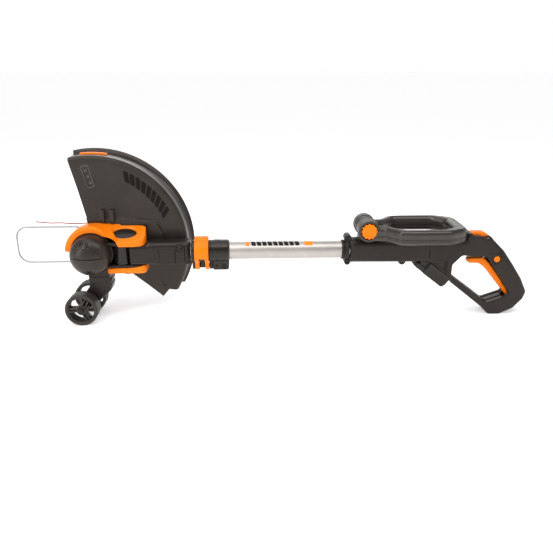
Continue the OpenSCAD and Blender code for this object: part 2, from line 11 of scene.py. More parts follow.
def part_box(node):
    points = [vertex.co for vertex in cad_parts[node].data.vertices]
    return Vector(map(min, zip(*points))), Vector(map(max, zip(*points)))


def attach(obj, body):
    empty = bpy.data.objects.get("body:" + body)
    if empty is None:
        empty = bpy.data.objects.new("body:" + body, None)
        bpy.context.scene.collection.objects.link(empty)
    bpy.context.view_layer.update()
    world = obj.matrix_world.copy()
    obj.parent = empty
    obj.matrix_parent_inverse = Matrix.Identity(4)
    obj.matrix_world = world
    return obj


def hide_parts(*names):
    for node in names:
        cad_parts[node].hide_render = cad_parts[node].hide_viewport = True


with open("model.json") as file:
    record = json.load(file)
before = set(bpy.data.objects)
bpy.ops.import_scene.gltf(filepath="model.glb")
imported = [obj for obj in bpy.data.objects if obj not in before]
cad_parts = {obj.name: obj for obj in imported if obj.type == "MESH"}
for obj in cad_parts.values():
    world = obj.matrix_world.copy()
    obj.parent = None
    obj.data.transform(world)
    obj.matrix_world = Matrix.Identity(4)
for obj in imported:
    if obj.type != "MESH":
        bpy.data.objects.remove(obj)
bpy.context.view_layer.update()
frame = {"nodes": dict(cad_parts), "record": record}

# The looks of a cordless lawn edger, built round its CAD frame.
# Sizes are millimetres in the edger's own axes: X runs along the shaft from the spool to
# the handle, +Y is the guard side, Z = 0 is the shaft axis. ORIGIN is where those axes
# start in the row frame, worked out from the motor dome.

MM = 0.001
DOME_FRONT = -50
dome_low, dome_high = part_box("motor_dome")
ORIGIN = Vector((
    (dome_low.x + dome_high.x) / 2, dome_low.y - DOME_FRONT * MM, (dome_low.z + dome_high.z) / 2
))


def span(node):
    """Lowest and highest corner of a CAD node, in millimetres in the edger's axes."""
    return [(corner - ORIGIN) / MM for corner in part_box(node)]


# ---- Flat outlines ----
ARC_STEP = 1.2


def turn(a, b, c, radius):
    """Points of the arc that rounds corner b between a and c."""
    if radius <= 0:
        return [b]
    u = (a - b).normalized()
    v = (c - b).normalized()
    half = math.acos(max(-1.0, min(1.0, u.dot(v)))) / 2
    start = b + u * radius / math.tan(half)
    end = b + v * radius / math.tan(half)
    centre = b + (u + v).normalized() * radius / math.sin(half)
    first = math.atan2(*(start - centre).yx)
    sweep = (math.atan2(*(end - centre).yx) - first + 3 * math.pi) % (2 * math.pi) - math.pi
    steps = max(3, min(14, math.ceil(abs(sweep) * radius / ARC_STEP)))
    angles = [first + sweep * k / steps for k in range(steps + 1)]
    return [centre + radius * Vector((math.cos(a), math.sin(a))) for a in angles]


def rounded(corners, rim=0.0):
    """Corners [u, v, radius, rim] as a list of (u, v, rim), with the corners as arcs."""
    points = []
    for i, b in enumerate(corners):
        a, c = corners[i - 1], corners[(i + 1) % len(corners)]
        edge = b[3] if len(b) > 3 else rim
        radius = b[2] if len(b) > 2 else 0
        points += [(p.x, p.y, edge) for p in turn(Vector(a[:2]), Vector(b[:2]), Vector(c[:2]), radius)]
    return points


def outline(corners, rim=0.0, step=4.0):
    """A closed outline as an array of (u, v, rim) with no gap over step."""
    points = rounded(corners, rim)
    loop = []
    for i, p in enumerate(points):
        q = points[(i + 1) % len(points)]
        count = max(1, math.ceil(math.dist(p[:2], q[:2]) / step))
        loop += [[p[k] + (q[k] - p[k]) * j / count for k in range(3)] for j in range(count)]
    return np.array(loop)


def ring(radius, at=(0, 0), rim=0.0, steps=96):
    """A circle as an outline."""
    turns = np.linspace(0, 2 * math.pi, steps, endpoint=False)
    return np.stack([
        at[0] + radius * np.cos(turns), at[1] + radius * np.sin(turns), np.full(steps, rim)
    ], 1)


def oval(half_u, half_v, at, rim=0.0, steps=72):
    """An ellipse as an outline."""
    turns = np.linspace(0, 2 * math.pi, steps, endpoint=False)
    return np.stack([
        at[0] + half_u * np.cos(turns), at[1] + half_v * np.sin(turns), np.full(steps, rim)
    ], 1)


def facing(loop, anticlockwise=True):
    """The loop running the way round that is asked for."""
    u, v = loop[:, 0], loop[:, 1]
    area = (u * np.roll(v, -1) - np.roll(u, -1) * v).sum()
    return loop if (area > 0) == anticlockwise else loop[::-1]


def inward(loop):
    """Unit normals pointing to the left of the way the loop runs."""
    along = np.roll(loop[:, :2], -1, 0) - np.roll(loop[:, :2], 1, 0)
    along /= np.linalg.norm(along, axis=1)[:, None] + 1e-12
    return np.stack([-along[:, 1], along[:, 0]], 1)


def segments(loops):
    """Every side of the loops as a row (u, v, rim, next u, next v, next rim)."""
    return np.vstack([np.hstack([l, np.roll(l, -1, 0)]) for l in loops])


def apart(points, segs):
    """Distance from each point to each segment, and how far along the segment that is."""
    a, b = segs[None, :, :2], segs[None, :, 3:5]
    ab = b - a
    t = np.clip(((points[:, None] - a) * ab).sum(-1) / ((ab**2).sum(-1) + 1e-12), 0, 1)
    return np.linalg.norm(points[:, None] - a - t[..., None] * ab, axis=2), t


def within(points, segs):
    """Whether each point is inside the loops, holes counted as outside."""
    u, v = points[:, None, 0], points[:, None, 1]
    u0, v0, u1, v1 = segs[None, :, 0], segs[None, :, 1], segs[None, :, 3], segs[None, :, 4]
    crosses = (v0 > v) != (v1 > v)
    at = u0 + (v - v0) / np.where(v1 == v0, 1e-12, v1 - v0) * (u1 - u0)
    return (crosses & (u < at)).sum(1) % 2 == 1


def sag(points, segs):
    """How far a rounded rim drops the face at each point."""
    gap, t = apart(points, segs)
    rim = segs[None, :, 2] + (segs[None, :, 5] - segs[None, :, 2]) * t + 1e-9
    k = np.clip(1 - gap / rim, 0, 1)
    return (rim * (1 - np.sqrt(1 - k * k))).max(1)


# Least distance from an outline to a point of its rim and of its face, and between two points.
RIM_GAP = 0.15
FACE_GAP = 0.3
POINT_GAP = 0.25


def triangulated(loops, grid, extra, rings):
    """A flat sheet between the loops: its points, triangles and segments."""
    loops = [facing(l, i == 0) for i, l in enumerate(loops)]
    segs = segments(loops)
    sets = []
    for loop in loops:
        normals = inward(loop)
        if loop[:, 2].max() > 0:
            for k in range(1, rings + 1):
                depth = loop[:, 2] * (1 - math.cos(math.pi / 2 * k / rings))
                sets.append((loop[:, :2] + normals * depth[:, None])[depth > 0.05])
    low, high = loops[0][:, :2].min(0), loops[0][:, :2].max(0)
    us, vs = np.arange(low[0], high[0], grid), np.arange(low[1], high[1], grid * 0.87)
    lattice = np.array([[u + (j % 2) * grid / 2, v] for j, v in enumerate(vs) for u in us])
    sets += [lattice, *[np.asarray(e, float).reshape(-1, 2) for e in extra]]
    inner = []
    for i, group in enumerate(sets):
        if not len(group):
            continue
        gap, t = apart(group, segs)
        rim = segs[None, :, 2] + (segs[None, :, 5] - segs[None, :, 2]) * t
        on_rim = i < len(sets) - 1 - len(extra)
        clear = gap.min(1) > (RIM_GAP if on_rim else FACE_GAP)
        if group is lattice:
            clear &= (gap - rim).min(1) > grid * 0.35
        inner.append(group[clear & within(group, segs)])
    inner = np.vstack(inner) if inner else np.zeros((0, 2))
    seen, kept = set(), []
    for p in inner[::-1]:
        key = (round(p[0] / POINT_GAP), round(p[1] / POINT_GAP))
        if key not in seen:
            seen.add(key)
            kept.append(p)
    border = np.vstack([l[:, :2] for l in loops])
    edges, start = [], 0
    for loop in loops:
        edges += [(start + i, start + (i + 1) % len(loop)) for i in range(len(loop))]
        start += len(loop)
    every = np.vstack([border, np.array(kept).reshape(-1, 2)])
    verts, _, tris, *_ = delaunay_2d_cdt([Vector(p) for p in every], edges, [], 0, 1e-4)
    points = np.array([tuple(v) for v in verts])
    tris = np.array(tris)
    tris = tris[within(points[tris].mean(1), segs)]
    return points, tris, segs


PLANES = {
    "xz": lambda u, v, w: (u, w, v),
    "xy": lambda u, v, w: (u, v, w),
    "yz": lambda u, v, w: (w, u, v),
}


# ---- Details worked into a face: extra points, and the depth they add ----
def recess(corners, depth, edge=0.8):
    """A panel sunk by depth, or raised when depth is negative."""
    loop = facing(outline(corners, step=2.0) if isinstance(corners, list) else corners)
    segs, normals = segments([loop]), inward(loop)
    extra = np.vstack([loop[:, :2] + normals * d for d in (-0.25, 0.05, edge * 0.5, edge, edge + 0.4)])

    def depths(points):
        inside = np.clip(apart(points, segs)[0].min(1) / edge, 0, 1) * within(points, segs)
        return depth * inside * inside * (3 - 2 * inside)
    return extra, depths


def groove(line, width, depth):
    """A round-bottomed groove along an open line, or a bead when depth is negative."""
    line = np.array([[*p, 0.0] for p in line], float)
    segs = np.hstack([line[:-1], line[1:]])
    extra = []
    for a, b in zip(line[:-1, :2], line[1:, :2]):
        count = max(1, math.ceil(np.linalg.norm(b - a) / 1.6))
        side = np.array([a[1] - b[1], b[0] - a[0]]) / np.linalg.norm(b - a)
        for k in range(count + 1):
            extra += [
                a + (b - a) * k / count + side * width * s
                for s in (-0.62, -0.5, -0.25, 0, 0.25, 0.5, 0.62)
            ]

    def depths(points):
        share = np.clip(apart(points, segs)[0].min(1) / (width / 2), 0, 1)
        return depth * (1 - share * share)
    return np.array(extra), depths


def circle_line(radius, at, steps=48):
    """A closed circle as an open line, for a groove."""
    return [
        (
            at[0] + radius * math.cos(2 * math.pi * k / steps),
            at[1] + radius * math.sin(2 * math.pi * k / steps)
        )
        for k in range(steps + 1)
    ]


# ---- Solids ----
def sealed(work):
    """Fills pinholes and drops edges and points that no face uses."""
    bmesh.ops.holes_fill(work, edges=[e for e in work.edges if len(e.link_faces) == 1], sides=0)
    bmesh.ops.delete(work, geom=[e for e in work.edges if not e.link_faces], context="EDGES")
    bmesh.ops.delete(work, geom=[v for v in work.verts if not v.link_faces], context="VERTS")


def mesh_object(name, points, faces):
    """A new object from points in millimetres, with its normals turned outward."""
    mesh = bpy.data.meshes.new(name)
    mesh.from_pydata([ORIGIN + Vector(p) * MM for p in points], [], [list(map(int, f)) for f in faces])
    work = bmesh.new()
    work.from_mesh(mesh)
    bmesh.ops.remove_doubles(work, verts=work.verts, dist=2e-6)
    bmesh.ops.dissolve_degenerate(work, edges=work.edges, dist=1e-6)
    sealed(work)
    bmesh.ops.recalc_face_normals(work, faces=work.faces)
    work.to_mesh(mesh)
    work.free()
    obj = bpy.data.objects.new(name, mesh)
    bpy.context.scene.collection.objects.link(obj)
    return obj


def slab(
    name, loops, near, far, back=1.0, details=(), grid=9.0, walls=(), plane="xz",
    swell=1.0, rings=5, slope=None,
):
    """A closed solid between two faces of the same outline, with rounded rims.

    walls gives, for each loop, rings [(inset, share of the depth)] down its side wall.
    """
    extra = [d[0] for d in details]
    points, tris, segs = triangulated([np.asarray(l, float) for l in loops], grid, extra, rings)
    way = 1 if far > near else -1
    drop = sag(points, segs)
    depth = drop * swell + sum((d[1](points) for d in details), np.zeros(len(points)))
    if slope:
        depth += slope(points)
    front = near + way * depth
    rear = far - way * drop * back
    count = len(points)
    solid = [(*p, w) for p, w in zip(points, front)] + [(*p, w) for p, w in zip(points, rear)]
    faces = [tuple(t) for t in tris] + [tuple(t[::-1] + count) for t in tris]
    edges = {}
    for t in tris:
        for i, j in ((t[0], t[1]), (t[1], t[2]), (t[2], t[0])):
            edges[(i, j)] = True
    border = [(i, j) for i, j in edges if (j, i) not in edges]
    after = dict(border)
    before = {j: i for i, j in border}
    loop_of = {}
    for number, loop in enumerate(loops):
        for p in np.asarray(loop)[:, :2]:
            loop_of[(round(p[0], 2), round(p[1], 2))] = number
    made = {}

    def stack(i):
        if i not in made:
            key = (round(points[i][0], 2), round(points[i][1], 2))
            number = loop_of.get(key, 0)
            rows = [i]
            along = points[after[i]] - points[before[i]]
            normal = np.array([-along[1], along[0]]) / (np.linalg.norm(along) + 1e-12)
            for inset, share in (walls[number] if number < len(walls) else ()):
                p = points[i] + normal * inset
                rows.append(len(solid))
                solid.append((p[0], p[1], front[i] + (rear[i] - front[i]) * share))
            made[i] = [*rows, i + count]
        return made[i]

    for i, j in border:
        a, b = stack(i), stack(j)
        if len(a) == len(b):
            faces += [(a[k + 1], b[k + 1], b[k], a[k]) for k in range(len(a) - 1)]
        else:
            faces.append((a[-1], b[-1], b[0], a[0]))
    return mesh_object(name, [PLANES[plane](*p) for p in solid], faces)


def lathe(name, profile, axis="y", at=(0, 0), steps=96, arc=None, ripple=None):
    """A solid of revolution from a closed list of (radius, along) about an axis through at."""
    first, last = arc or (0.0, 2 * math.pi)
    count = steps + 1 if arc else steps
    points = []
    for k in range(count):
        a = first + (last - first) * k / steps
        for r, h in profile:
            if ripple:
                r, h = ripple(r, h, a)
            u, v = at[0] + r * math.cos(a), at[1] + r * math.sin(a)
            points.append({"x": (h, u, v), "y": (u, h, v), "z": (u, v, h)}[axis])
    n = len(profile)
    faces = []
    for k in range(steps):
        here, there = k * n, (k + 1) % count * n
        faces += [(here + i, here + (i + 1) % n, there + (i + 1) % n, there + i) for i in range(n)]
    if arc:
        faces += [tuple(range(n)), tuple((count - 1) * n + i for i in range(n))]
    return mesh_object(name, points, faces)


def turned(name, corners, axis="y", at=(0, 0), **options):
    """A lathe whose profile is given as corners [radius, along, rounding]."""
    return lathe(name, [p[:2] for p in rounded(corners)], axis, at, **options)


def rod(name, radius, start, end, axis="y", at=(0, 0), steps=96):
    """A plain cylinder, for cutting a round hole."""
    corners = [[0, start, 0], [radius, start, 0], [radius, end, 0], [0, end, 0]]
    return turned(name, corners, axis, at, steps=steps)


def loft(name, sections):
    """Equal rings of points joined in order, with both ends closed."""
    n = len(sections[0])
    points = [p for s in sections for p in s]
    faces = [
        (k * n + i, k * n + (i + 1) % n, (k + 1) * n + (i + 1) % n, (k + 1) * n + i)
        for k in range(len(sections) - 1) for i in range(n)
    ]
    last = (len(sections) - 1) * n
    return mesh_object(name, points, [*faces, tuple(range(n)), tuple(last + i for i in range(n))])


def block(name, x, y, z, bevel=0.0):
    """A box from its spans, with rounded edges."""
    corners = [[x[0], y[0], 0], [x[1], y[0], 0], [x[1], y[1], 0], [x[0], y[1], 0]]
    obj = loft(name, [[(*c[:2], h) for c in corners] for h in z])
    return bevelled(obj, bevel) if bevel else obj


def tube_along(name, path, radius, sides=16):
    """A round wire along a list of points, its frame carried along without twisting."""
    path = [Vector(p) for p in path]
    normal = None
    sections = []
    for i, p in enumerate(path):
        ahead = (path[min(i + 1, len(path) - 1)] - path[max(i - 1, 0)]).normalized()
        if normal is None:
            normal = ahead.orthogonal().normalized()
        normal = (normal - ahead * normal.dot(ahead)).normalized()
        other = ahead.cross(normal)
        sections.append([
            p + radius * (
                math.cos(2 * math.pi * k / sides) * normal + math.sin(2 * math.pi * k / sides) * other
            )
            for k in range(sides)
        ])
    return loft(name, sections)


def smooth_path(points, per=8):
    """A Catmull-Rom curve through the points."""
    pts = [Vector(p) for p in points]
    pts = [2 * pts[0] - pts[1], *pts, 2 * pts[-1] - pts[-2]]
    out = []
    for a, b, c, d in zip(pts, pts[1:], pts[2:], pts[3:]):
        for k in range(per):
            t = k / per
            out.append(0.5 * (
                2 * b + (c - a) * t + (2 * a - 5 * b + 4 * c - d) * t**2 + (3 * b - a - 3 * c + d) * t**3
            ))
    return [*out, pts[-2]]


def bake(obj):
    """Applies the object's modifiers to its mesh."""
    graph = bpy.context.evaluated_depsgraph_get()
    mesh = bpy.data.meshes.new_from_object(obj.evaluated_get(graph))
    obj.modifiers.clear()
    old, obj.data = obj.data, mesh
    bpy.data.meshes.remove(old)
    return obj


def bevelled(obj, width, segments=3, angle=35):
    """The object with its sharp edges rounded."""
    bevel = obj.modifiers.new("edges", "BEVEL")
    bevel.width = width * MM
    bevel.segments = segments
    bevel.limit_method = "ANGLE"
    bevel.angle_limit = math.radians(angle)
    bevel.use_clamp_overlap = True
    return bake(obj)


def cut(obj, *tools, how="DIFFERENCE"):
    """The object less, or joined with, each tool."""
    for tool in tools:
        step = obj.modifiers.new("cut", "BOOLEAN")
        step.operation = how
        step.object = tool
        step.solver = "EXACT"
        bake(obj)
        bpy.data.objects.remove(tool)
    work = bmesh.new()
    work.from_mesh(obj.data)
    sealed(work)
    work.to_mesh(obj.data)
    work.free()
    return obj


def joined(name, *parts):
    """One object from several closed solids."""
    work = bmesh.new()
    for part in parts:
        work.from_mesh(part.data)
        bpy.data.objects.remove(part)
    mesh = bpy.data.meshes.new(name)
    work.to_mesh(mesh)
    work.free()
    obj = bpy.data.objects.new(name, mesh)
    bpy.context.scene.collection.objects.link(obj)
    return obj


def softened(name, node, width, segments=2):
    """A copy of a CAD node with its edges rounded."""
    mesh = frame["nodes"][node].data.copy()
    mesh.materials.clear()
    work = bmesh.new()
    work.from_mesh(mesh)
    bmesh.ops.remove_doubles(work, verts=work.verts, dist=1e-6)
    bmesh.ops.dissolve_limit(
        work, angle_limit=math.radians(0.6), verts=work.verts, edges=work.edges, use_dissolve_boundaries=False
    )
    work.to_mesh(mesh)
    work.free()
    obj = bpy.data.objects.new(name, mesh)
    bpy.context.scene.collection.objects.link(obj)
    return bevelled(obj, width, segments)


def screw_heads(name, places, radius, height, axis="y", sign=-1):
    """Pan heads with a cross recess, seated at places (x, y, z) and facing the way of sign."""
    heads = []
    for x, y, z in places:
        seat = {"x": x, "y": y, "z": z}[axis]
        at = {"x": (y, z), "y": (x, z), "z": (x, y)}[axis]
        top = seat + sign * height
        head = turned("head", [
            [0, seat, 0], [radius, seat, 0.2], [radius, top - sign * height * 0.4, 0.5],
            [radius * 0.6, top, 0.6], [0, top, 0]
        ], axis, at, steps=32)
        length = radius * 0.55
        width = radius * 0.14
        sink = height * 0.6
        lows = sorted((top - sign * sink, top + sign))
        for a, b in ((length, width), (width, length)):
            if axis == "y":
                bit = block("bit", (x - a, x + a), lows, (z - b, z + b))
            else:
                bit = block("bit", (x - a, x + a), (y - b, y + b), lows)
            cut(head, bit)
        heads.append(head)
    return joined(name, *heads)


# ---- Materials ----
def new_material(name):
    """A material with its tree, its shader and the place of each point on the object."""
    mat = bpy.data.materials.new(name)
    mat.use_nodes = True
    tree = mat.node_tree
    place = tree.nodes.new("ShaderNodeTexCoord").outputs["Object"]
    return mat, tree, tree.nodes["Principled BSDF"], place


def node(tree, kind, values=(), **settings):
    """A shader node with its inputs set from values and its properties from settings."""
    made = tree.nodes.new("ShaderNode" + kind)
    for key, value in settings.items():
        setattr(made, key, value)
    for key, value in dict(values).items():
        made.inputs[key].default_value = value
    return made


def noise(tree, place, scale, detail=2.0, stretch=(1, 1, 1)):
    """Cloudy noise, drawn out along an axis whose stretch is small."""
    mapping = node(tree, "Mapping", {"Scale": stretch})
    made = node(tree, "TexNoise", {"Scale": scale, "Detail": detail, "Roughness": 0.6})
    tree.links.new(place, mapping.inputs["Vector"])
    tree.links.new(mapping.outputs["Vector"], made.inputs["Vector"])
    return made.outputs["Fac"]


def ranged(tree, source, low, high, start=0.3, end=0.7):
    """The source mapped from start..end to low..high."""
    made = node(tree, "MapRange", {"From Min": start, "From Max": end, "To Min": low, "To Max": high})
    tree.links.new(source, made.inputs["Value"])
    return made.outputs["Result"]


def mixed(tree, factor, a, b):
    """Colour a turning into colour b as the factor rises; each is a colour or a socket."""
    made = node(tree, "Mix", data_type="RGBA")
    for key, value in (("A", a), ("B", b)):
        socket = next(s for s in made.inputs if s.name == key and s.type == "RGBA")
        if isinstance(value, tuple):
            socket.default_value = (*value, 1)
        else:
            tree.links.new(value, socket)
    tree.links.new(factor, made.inputs["Factor"])
    return next(s for s in made.outputs if s.type == "RGBA")


def plastic(name, colour, tint, rough, grain=0.25, relief=0.03, edge_wear_and_highlight=0.3, spread=0.03, shine=0.28):
    """Moulded plastic: cloudy tone, spark-eroded grain, uneven gloss, and convex edges painted lighter,
    partly as rubbed wear and partly as a painted highlight.

    grain is the size of the texture and relief its depth, both in millimetres.
    """
    mat, tree, shader, place = new_material(name)
    link = tree.links.new
    cloud = ranged(tree, noise(tree, place, 28, 4), 0.0, 1.0)
    base = mixed(tree, cloud, colour, tint)
    speck = ranged(tree, noise(tree, place, 1 / (grain * 4 * MM), 2), 0.0, 0.05, 0.4, 0.7)
    base = mixed(tree, speck, base, tuple(min(1.0, c * 1.35) for c in colour))
    # Convex edges are painted lighter by pointiness: partly rubbed wear, partly a painted highlight of the
    # light the edges catch.
    pointed = tree.nodes.new("ShaderNodeNewGeometry").outputs["Pointiness"]
    edge = ranged(tree, pointed, 0.0, edge_wear_and_highlight, 0.52, 0.62)
    base = mixed(tree, edge, base, tuple(min(1.0, c * 1.7 + 0.02) for c in colour))
    link(base, shader.inputs["Base Color"])
    smear = noise(tree, place, 45, 2)
    link(ranged(tree, smear, rough - spread, rough + spread), shader.inputs["Roughness"])
    shader.inputs["Specular IOR Level"].default_value = shine
    shader.inputs["Specular Tint"].default_value = (1.0, 0.9, 0.82, 1)
    bump = node(tree, "Bump", {"Strength": 0.5, "Distance": relief * MM})
    link(noise(tree, place, 1 / (grain * 2 * MM), 3), bump.inputs["Height"])
    link(bump.outputs["Normal"], shader.inputs["Normal"])
    return mat


def metal(name, colour, rough, stretch=(1, 1, 1), scale=900, relief=0.01):
    """Bare metal with a drawn or turned finish that runs along the small stretch."""
    mat, tree, shader, place = new_material(name)
    link = tree.links.new
    shader.inputs["Metallic"].default_value = 1.0
    streak = noise(tree, place, scale, 3, stretch)
    cloud = ranged(tree, noise(tree, place, 45, 3), 0.0, 1.0)
    base = mixed(tree, cloud, colour, tuple(c * 0.88 for c in colour))
    base = mixed(tree, ranged(tree, streak, 0.0, 0.4), base, tuple(c * 0.78 for c in colour))
    link(base, shader.inputs["Base Color"])
    link(ranged(tree, streak, rough - 0.06, rough + 0.1), shader.inputs["Roughness"])
    bump = node(tree, "Bump", {"Strength": 0.4, "Distance": relief * MM})
    link(streak, bump.inputs["Height"])
    link(bump.outputs["Normal"], shader.inputs["Normal"])
    return mat


HOUSING = plastic(
    "housing_black", (0.0150, 0.0117, 0.0098), (0.0108, 0.0084, 0.0070), 0.33, 0.22, 0.010, shine=0.32
)
GUARD = plastic(
    "guard_black", (0.0260, 0.0205, 0.0176), (0.0180, 0.0142, 0.0122), 0.32, 0.35, 0.010, shine=0.34
)
GRIP = plastic(
    "grip_black", (0.0120, 0.0094, 0.0079), (0.0088, 0.0069, 0.0058), 0.33, 0.3, 0.004, 0.06, 0.03, 0.8
)
GLOSS = plastic(
    "gloss_black", (0.0065, 0.0056, 0.0050), (0.0085, 0.0070, 0.0062), 0.24, 0.3, 0.006, 0.2, 0.05, 0.42
)
DARK = plastic("dark_black", (0.0090, 0.0076, 0.0068), (0.0120, 0.0100, 0.0088), 0.42, 0.25, 0.03, 0.2)
TYRE = plastic("wheel_black", (0.0400, 0.0330, 0.0285), (0.0300, 0.0245, 0.0212), 0.42, 0.3, 0.04)
PANEL = plastic("panel_grey", (0.0320, 0.0290, 0.0262), (0.0250, 0.0226, 0.0204), 0.5, 0.25, 0.02)
# Lighter grey for the guard plate's raised frame and blocks: a painted highlight standing in for the light
# their raised edges catch.
MARK_PAINTED_HIGHLIGHT = plastic("mark_grey_painted_highlight", (0.0620, 0.0560, 0.0510), (0.0500, 0.0450, 0.0410), 0.45, 0.25, 0.02)
ORANGE = plastic("orange", (0.90, 0.196, 0.0015), (0.86, 0.178, 0.0015), 0.33, 0.22, 0.010, 0.12, shine=0.22)
PRINT_ORANGE = plastic("print_orange", (0.93, 0.225, 0.004), (0.88, 0.21, 0.004), 0.34, 0.2, 0.006, 0.1)
PRINT_BLACK = plastic(
    "print_black", (0.0040, 0.0036, 0.0034), (0.0060, 0.0054, 0.0050), 0.45, 0.2, 0.006, 0.05, shine=0.14
)
LINE = plastic("line_red", (0.36, 0.018, 0.020), (0.30, 0.028, 0.026), 0.34, 0.2, 0.01, 0.1)
ALUMINIUM = metal("tube_satin", (0.52, 0.485, 0.455), 0.42, (0.02, 1, 1), 1400, 0.004)
STEEL = metal("steel_bright", (0.56, 0.56, 0.56), 0.26, (1, 1, 1), 700, 0.006)
ZINC = metal("steel_zinc", (0.40, 0.40, 0.39), 0.34, (1, 1, 1), 1500, 0.012)
WIRE = metal("wire_plated", (0.34, 0.34, 0.335), 0.26, (0.05, 1, 1), 900, 0.004)
BRASS = metal("brass", (0.46, 0.30, 0.12), 0.3, (1, 1, 1), 900, 0.006)

BODY_OF = {n: b for b, members in frame["record"]["behaviour"]["bodies"].items() for n in members}


def finish(obj, name, material, body, nodes=(), angle=38):
    """Names, shades and paints a piece, and puts it on its body in place of CAD nodes."""
    obj.name = obj.data.name = name
    mesh = obj.data
    mesh.materials.clear()
    mesh.materials.append(material)
    for face in mesh.polygons:
        face.use_smooth = True
        face.material_index = 0
    mesh.set_sharp_from_angle(angle=math.radians(angle))
    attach(obj, body)
    if nodes:
        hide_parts(*nodes)
    return obj


def stands_for(obj, cad, name, material, angle=38):
    """A piece that takes the place of one CAD node, on that node's body."""
    return finish(obj, name, material, BODY_OF[cad], (cad,), angle)


# ---- Cutting head ----
DOME_R = 33.6
DOME_RISE = 23.5
BASE_FRONT = -8
BASE_R = 36
FACE_Y = 25
YOKE_TOP = 14.3
PIVOT_AT = (50, 0)
WHEEL_AT = (-19.5, -92)
WHEEL_FACE = 44
WHEEL_DEPTH = 26


def dome():
    """Black cover over the motor: half an ellipsoid, split level across its middle."""
    bell = [
        [-27.4, 0.9, 1], [-18.6, 11.2, 4], [-10.2, 19.4, 1], [5, 19.4, 1], [9, 15.5, 3], [14, 11.6, 4],
        [28.6, 0.9, 1]
    ]
    tab = [[-6.4, 17.8, 0.3], [-5.4, 28.2, 0.8], [-0.4, 28.2, 0.8], [1.0, 17.8, 0.3]]
    slots = [
        [[-11.4, 20.4, 0.3], [-9.4, 26.2, 0.5], [-6.9, 27.4, 0.5], [-7.6, 20.4, 0.3]],
        [[2.2, 20.4, 0.3], [1.2, 27.4, 0.5], [3.0, 27.0, 0.5], [5.6, 20.4, 0.3]],
        [[-3.2, -20.6, 0.4], [-2.2, -24.2, 0.5], [3.4, -24.2, 0.5], [4.6, -20.6, 0.4]],
    ]
    details = [
        recess(bell, -1.5, 1.1), recess(tab, -2.2, 0.9),
        *[recess(s, 2.0, 0.6) for s in slots],
        groove([(15.5, 11.6), (23.5, 17.6)], 2.6, 1.4), groove([(-16.5, 12.6), (-24.5, 17.6)], 2.4, 0.9),
        groove([(-33.4, 0), (33.4, 0)], 1.5, 0.9),
    ]
    obj = slab(
        "dome", [ring(DOME_R, rim=DOME_R)], DOME_FRONT + 1.5, BASE_FRONT, 0.0, details,
        swell=DOME_RISE / DOME_R, rings=18,
        walls=[[(0, 0.35), (0, 0.62), (0.7, 0.66), (0.7, 0.71), (0, 0.75)]]
    )
    stands_for(obj, "motor_dome", "dome_cover", GUARD, 32)


def yoke():
    """The motor's base ring and the two plates that hold the pivot barrel."""
    base = turned("base", [
        [0, BASE_FRONT, 0], [33, BASE_FRONT, 0.3], [33.5, BASE_FRONT - 0.4, 0.2], [BASE_R, BASE_FRONT, 1.4],
        [BASE_R, 2, 0.5], [35.2, 2.8, 0.3], [35.2, 4.2, 0.3], [BASE_R, 5, 0.5], [BASE_R, FACE_Y, 1.2],
        [0, FACE_Y, 0]
    ], steps=128)
    plates = []
    for low, high, start in ((YOKE_TOP, 20, 20), (-26, -20.3, 14)):
        shape = outline([[start, -17, 1], [88, -17, 9], [88, 20, 9], [start, 20, 1]], 0.9)
        plates.append(slab("plate", [shape], high, low, plane="xy"))
    stands_for(joined("yoke", base, *plates), "head_base", "head_yoke", HOUSING)


def saddle_section(top_front, top_back, low, front, back, inset=0.0):
    """Cross-section of the orange saddle as (y, height), with all its corners rounded."""
    low += inset
    top_front -= inset
    top_back -= inset
    front += inset
    back -= inset
    radius = min(4.5, (back - front) * 0.3, max(0.4, (top_front - low) * 0.42))
    corners = [
        [front, low, 0.7], [front, top_front, radius], [back, top_back, min(3.0, radius)], [back, low, 0.7]
    ]
    ring_points = []
    for i, b in enumerate(corners):
        a, c = Vector(corners[i - 1][:2]), Vector(corners[(i + 1) % 4][:2])
        points = turn(a, Vector(b[:2]), c, b[2])
        for k in range(9):
            at = k / 8 * (len(points) - 1)
            j = min(int(at), len(points) - 2)
            ring_points.append(points[j].lerp(points[j + 1], at - j))
    return ring_points


def ease(x, start, end):
    """0 before start, 1 after end, and a smooth rise between them."""
    t = max(0.0, min(1.0, (x - start) / (end - start)))
    return t * t * (3 - 2 * t)


BUTTON_AT = (56, 0.2)
BUTTON_HALF = (20.6, 11.8)
SADDLE_TOP = 47
SADDLE_FRONT = -10
SADDLE_BACK = 20
SADDLE_ROUND = 2.2
RING_LOW = 22.5
RING_HIGH = 44.0
RING_FRONT = -22


def button_plane(y):
    """Height of the slanting top round the tilt button."""
    return RING_LOW + (RING_HIGH - RING_LOW) * (y - RING_FRONT) / (SADDLE_BACK - RING_FRONT)


def bow(radius, past):
    """Height of a circle's arc at a distance from its middle, 0 outside it."""
    return math.sqrt(max(0.0, radius**2 - past**2))


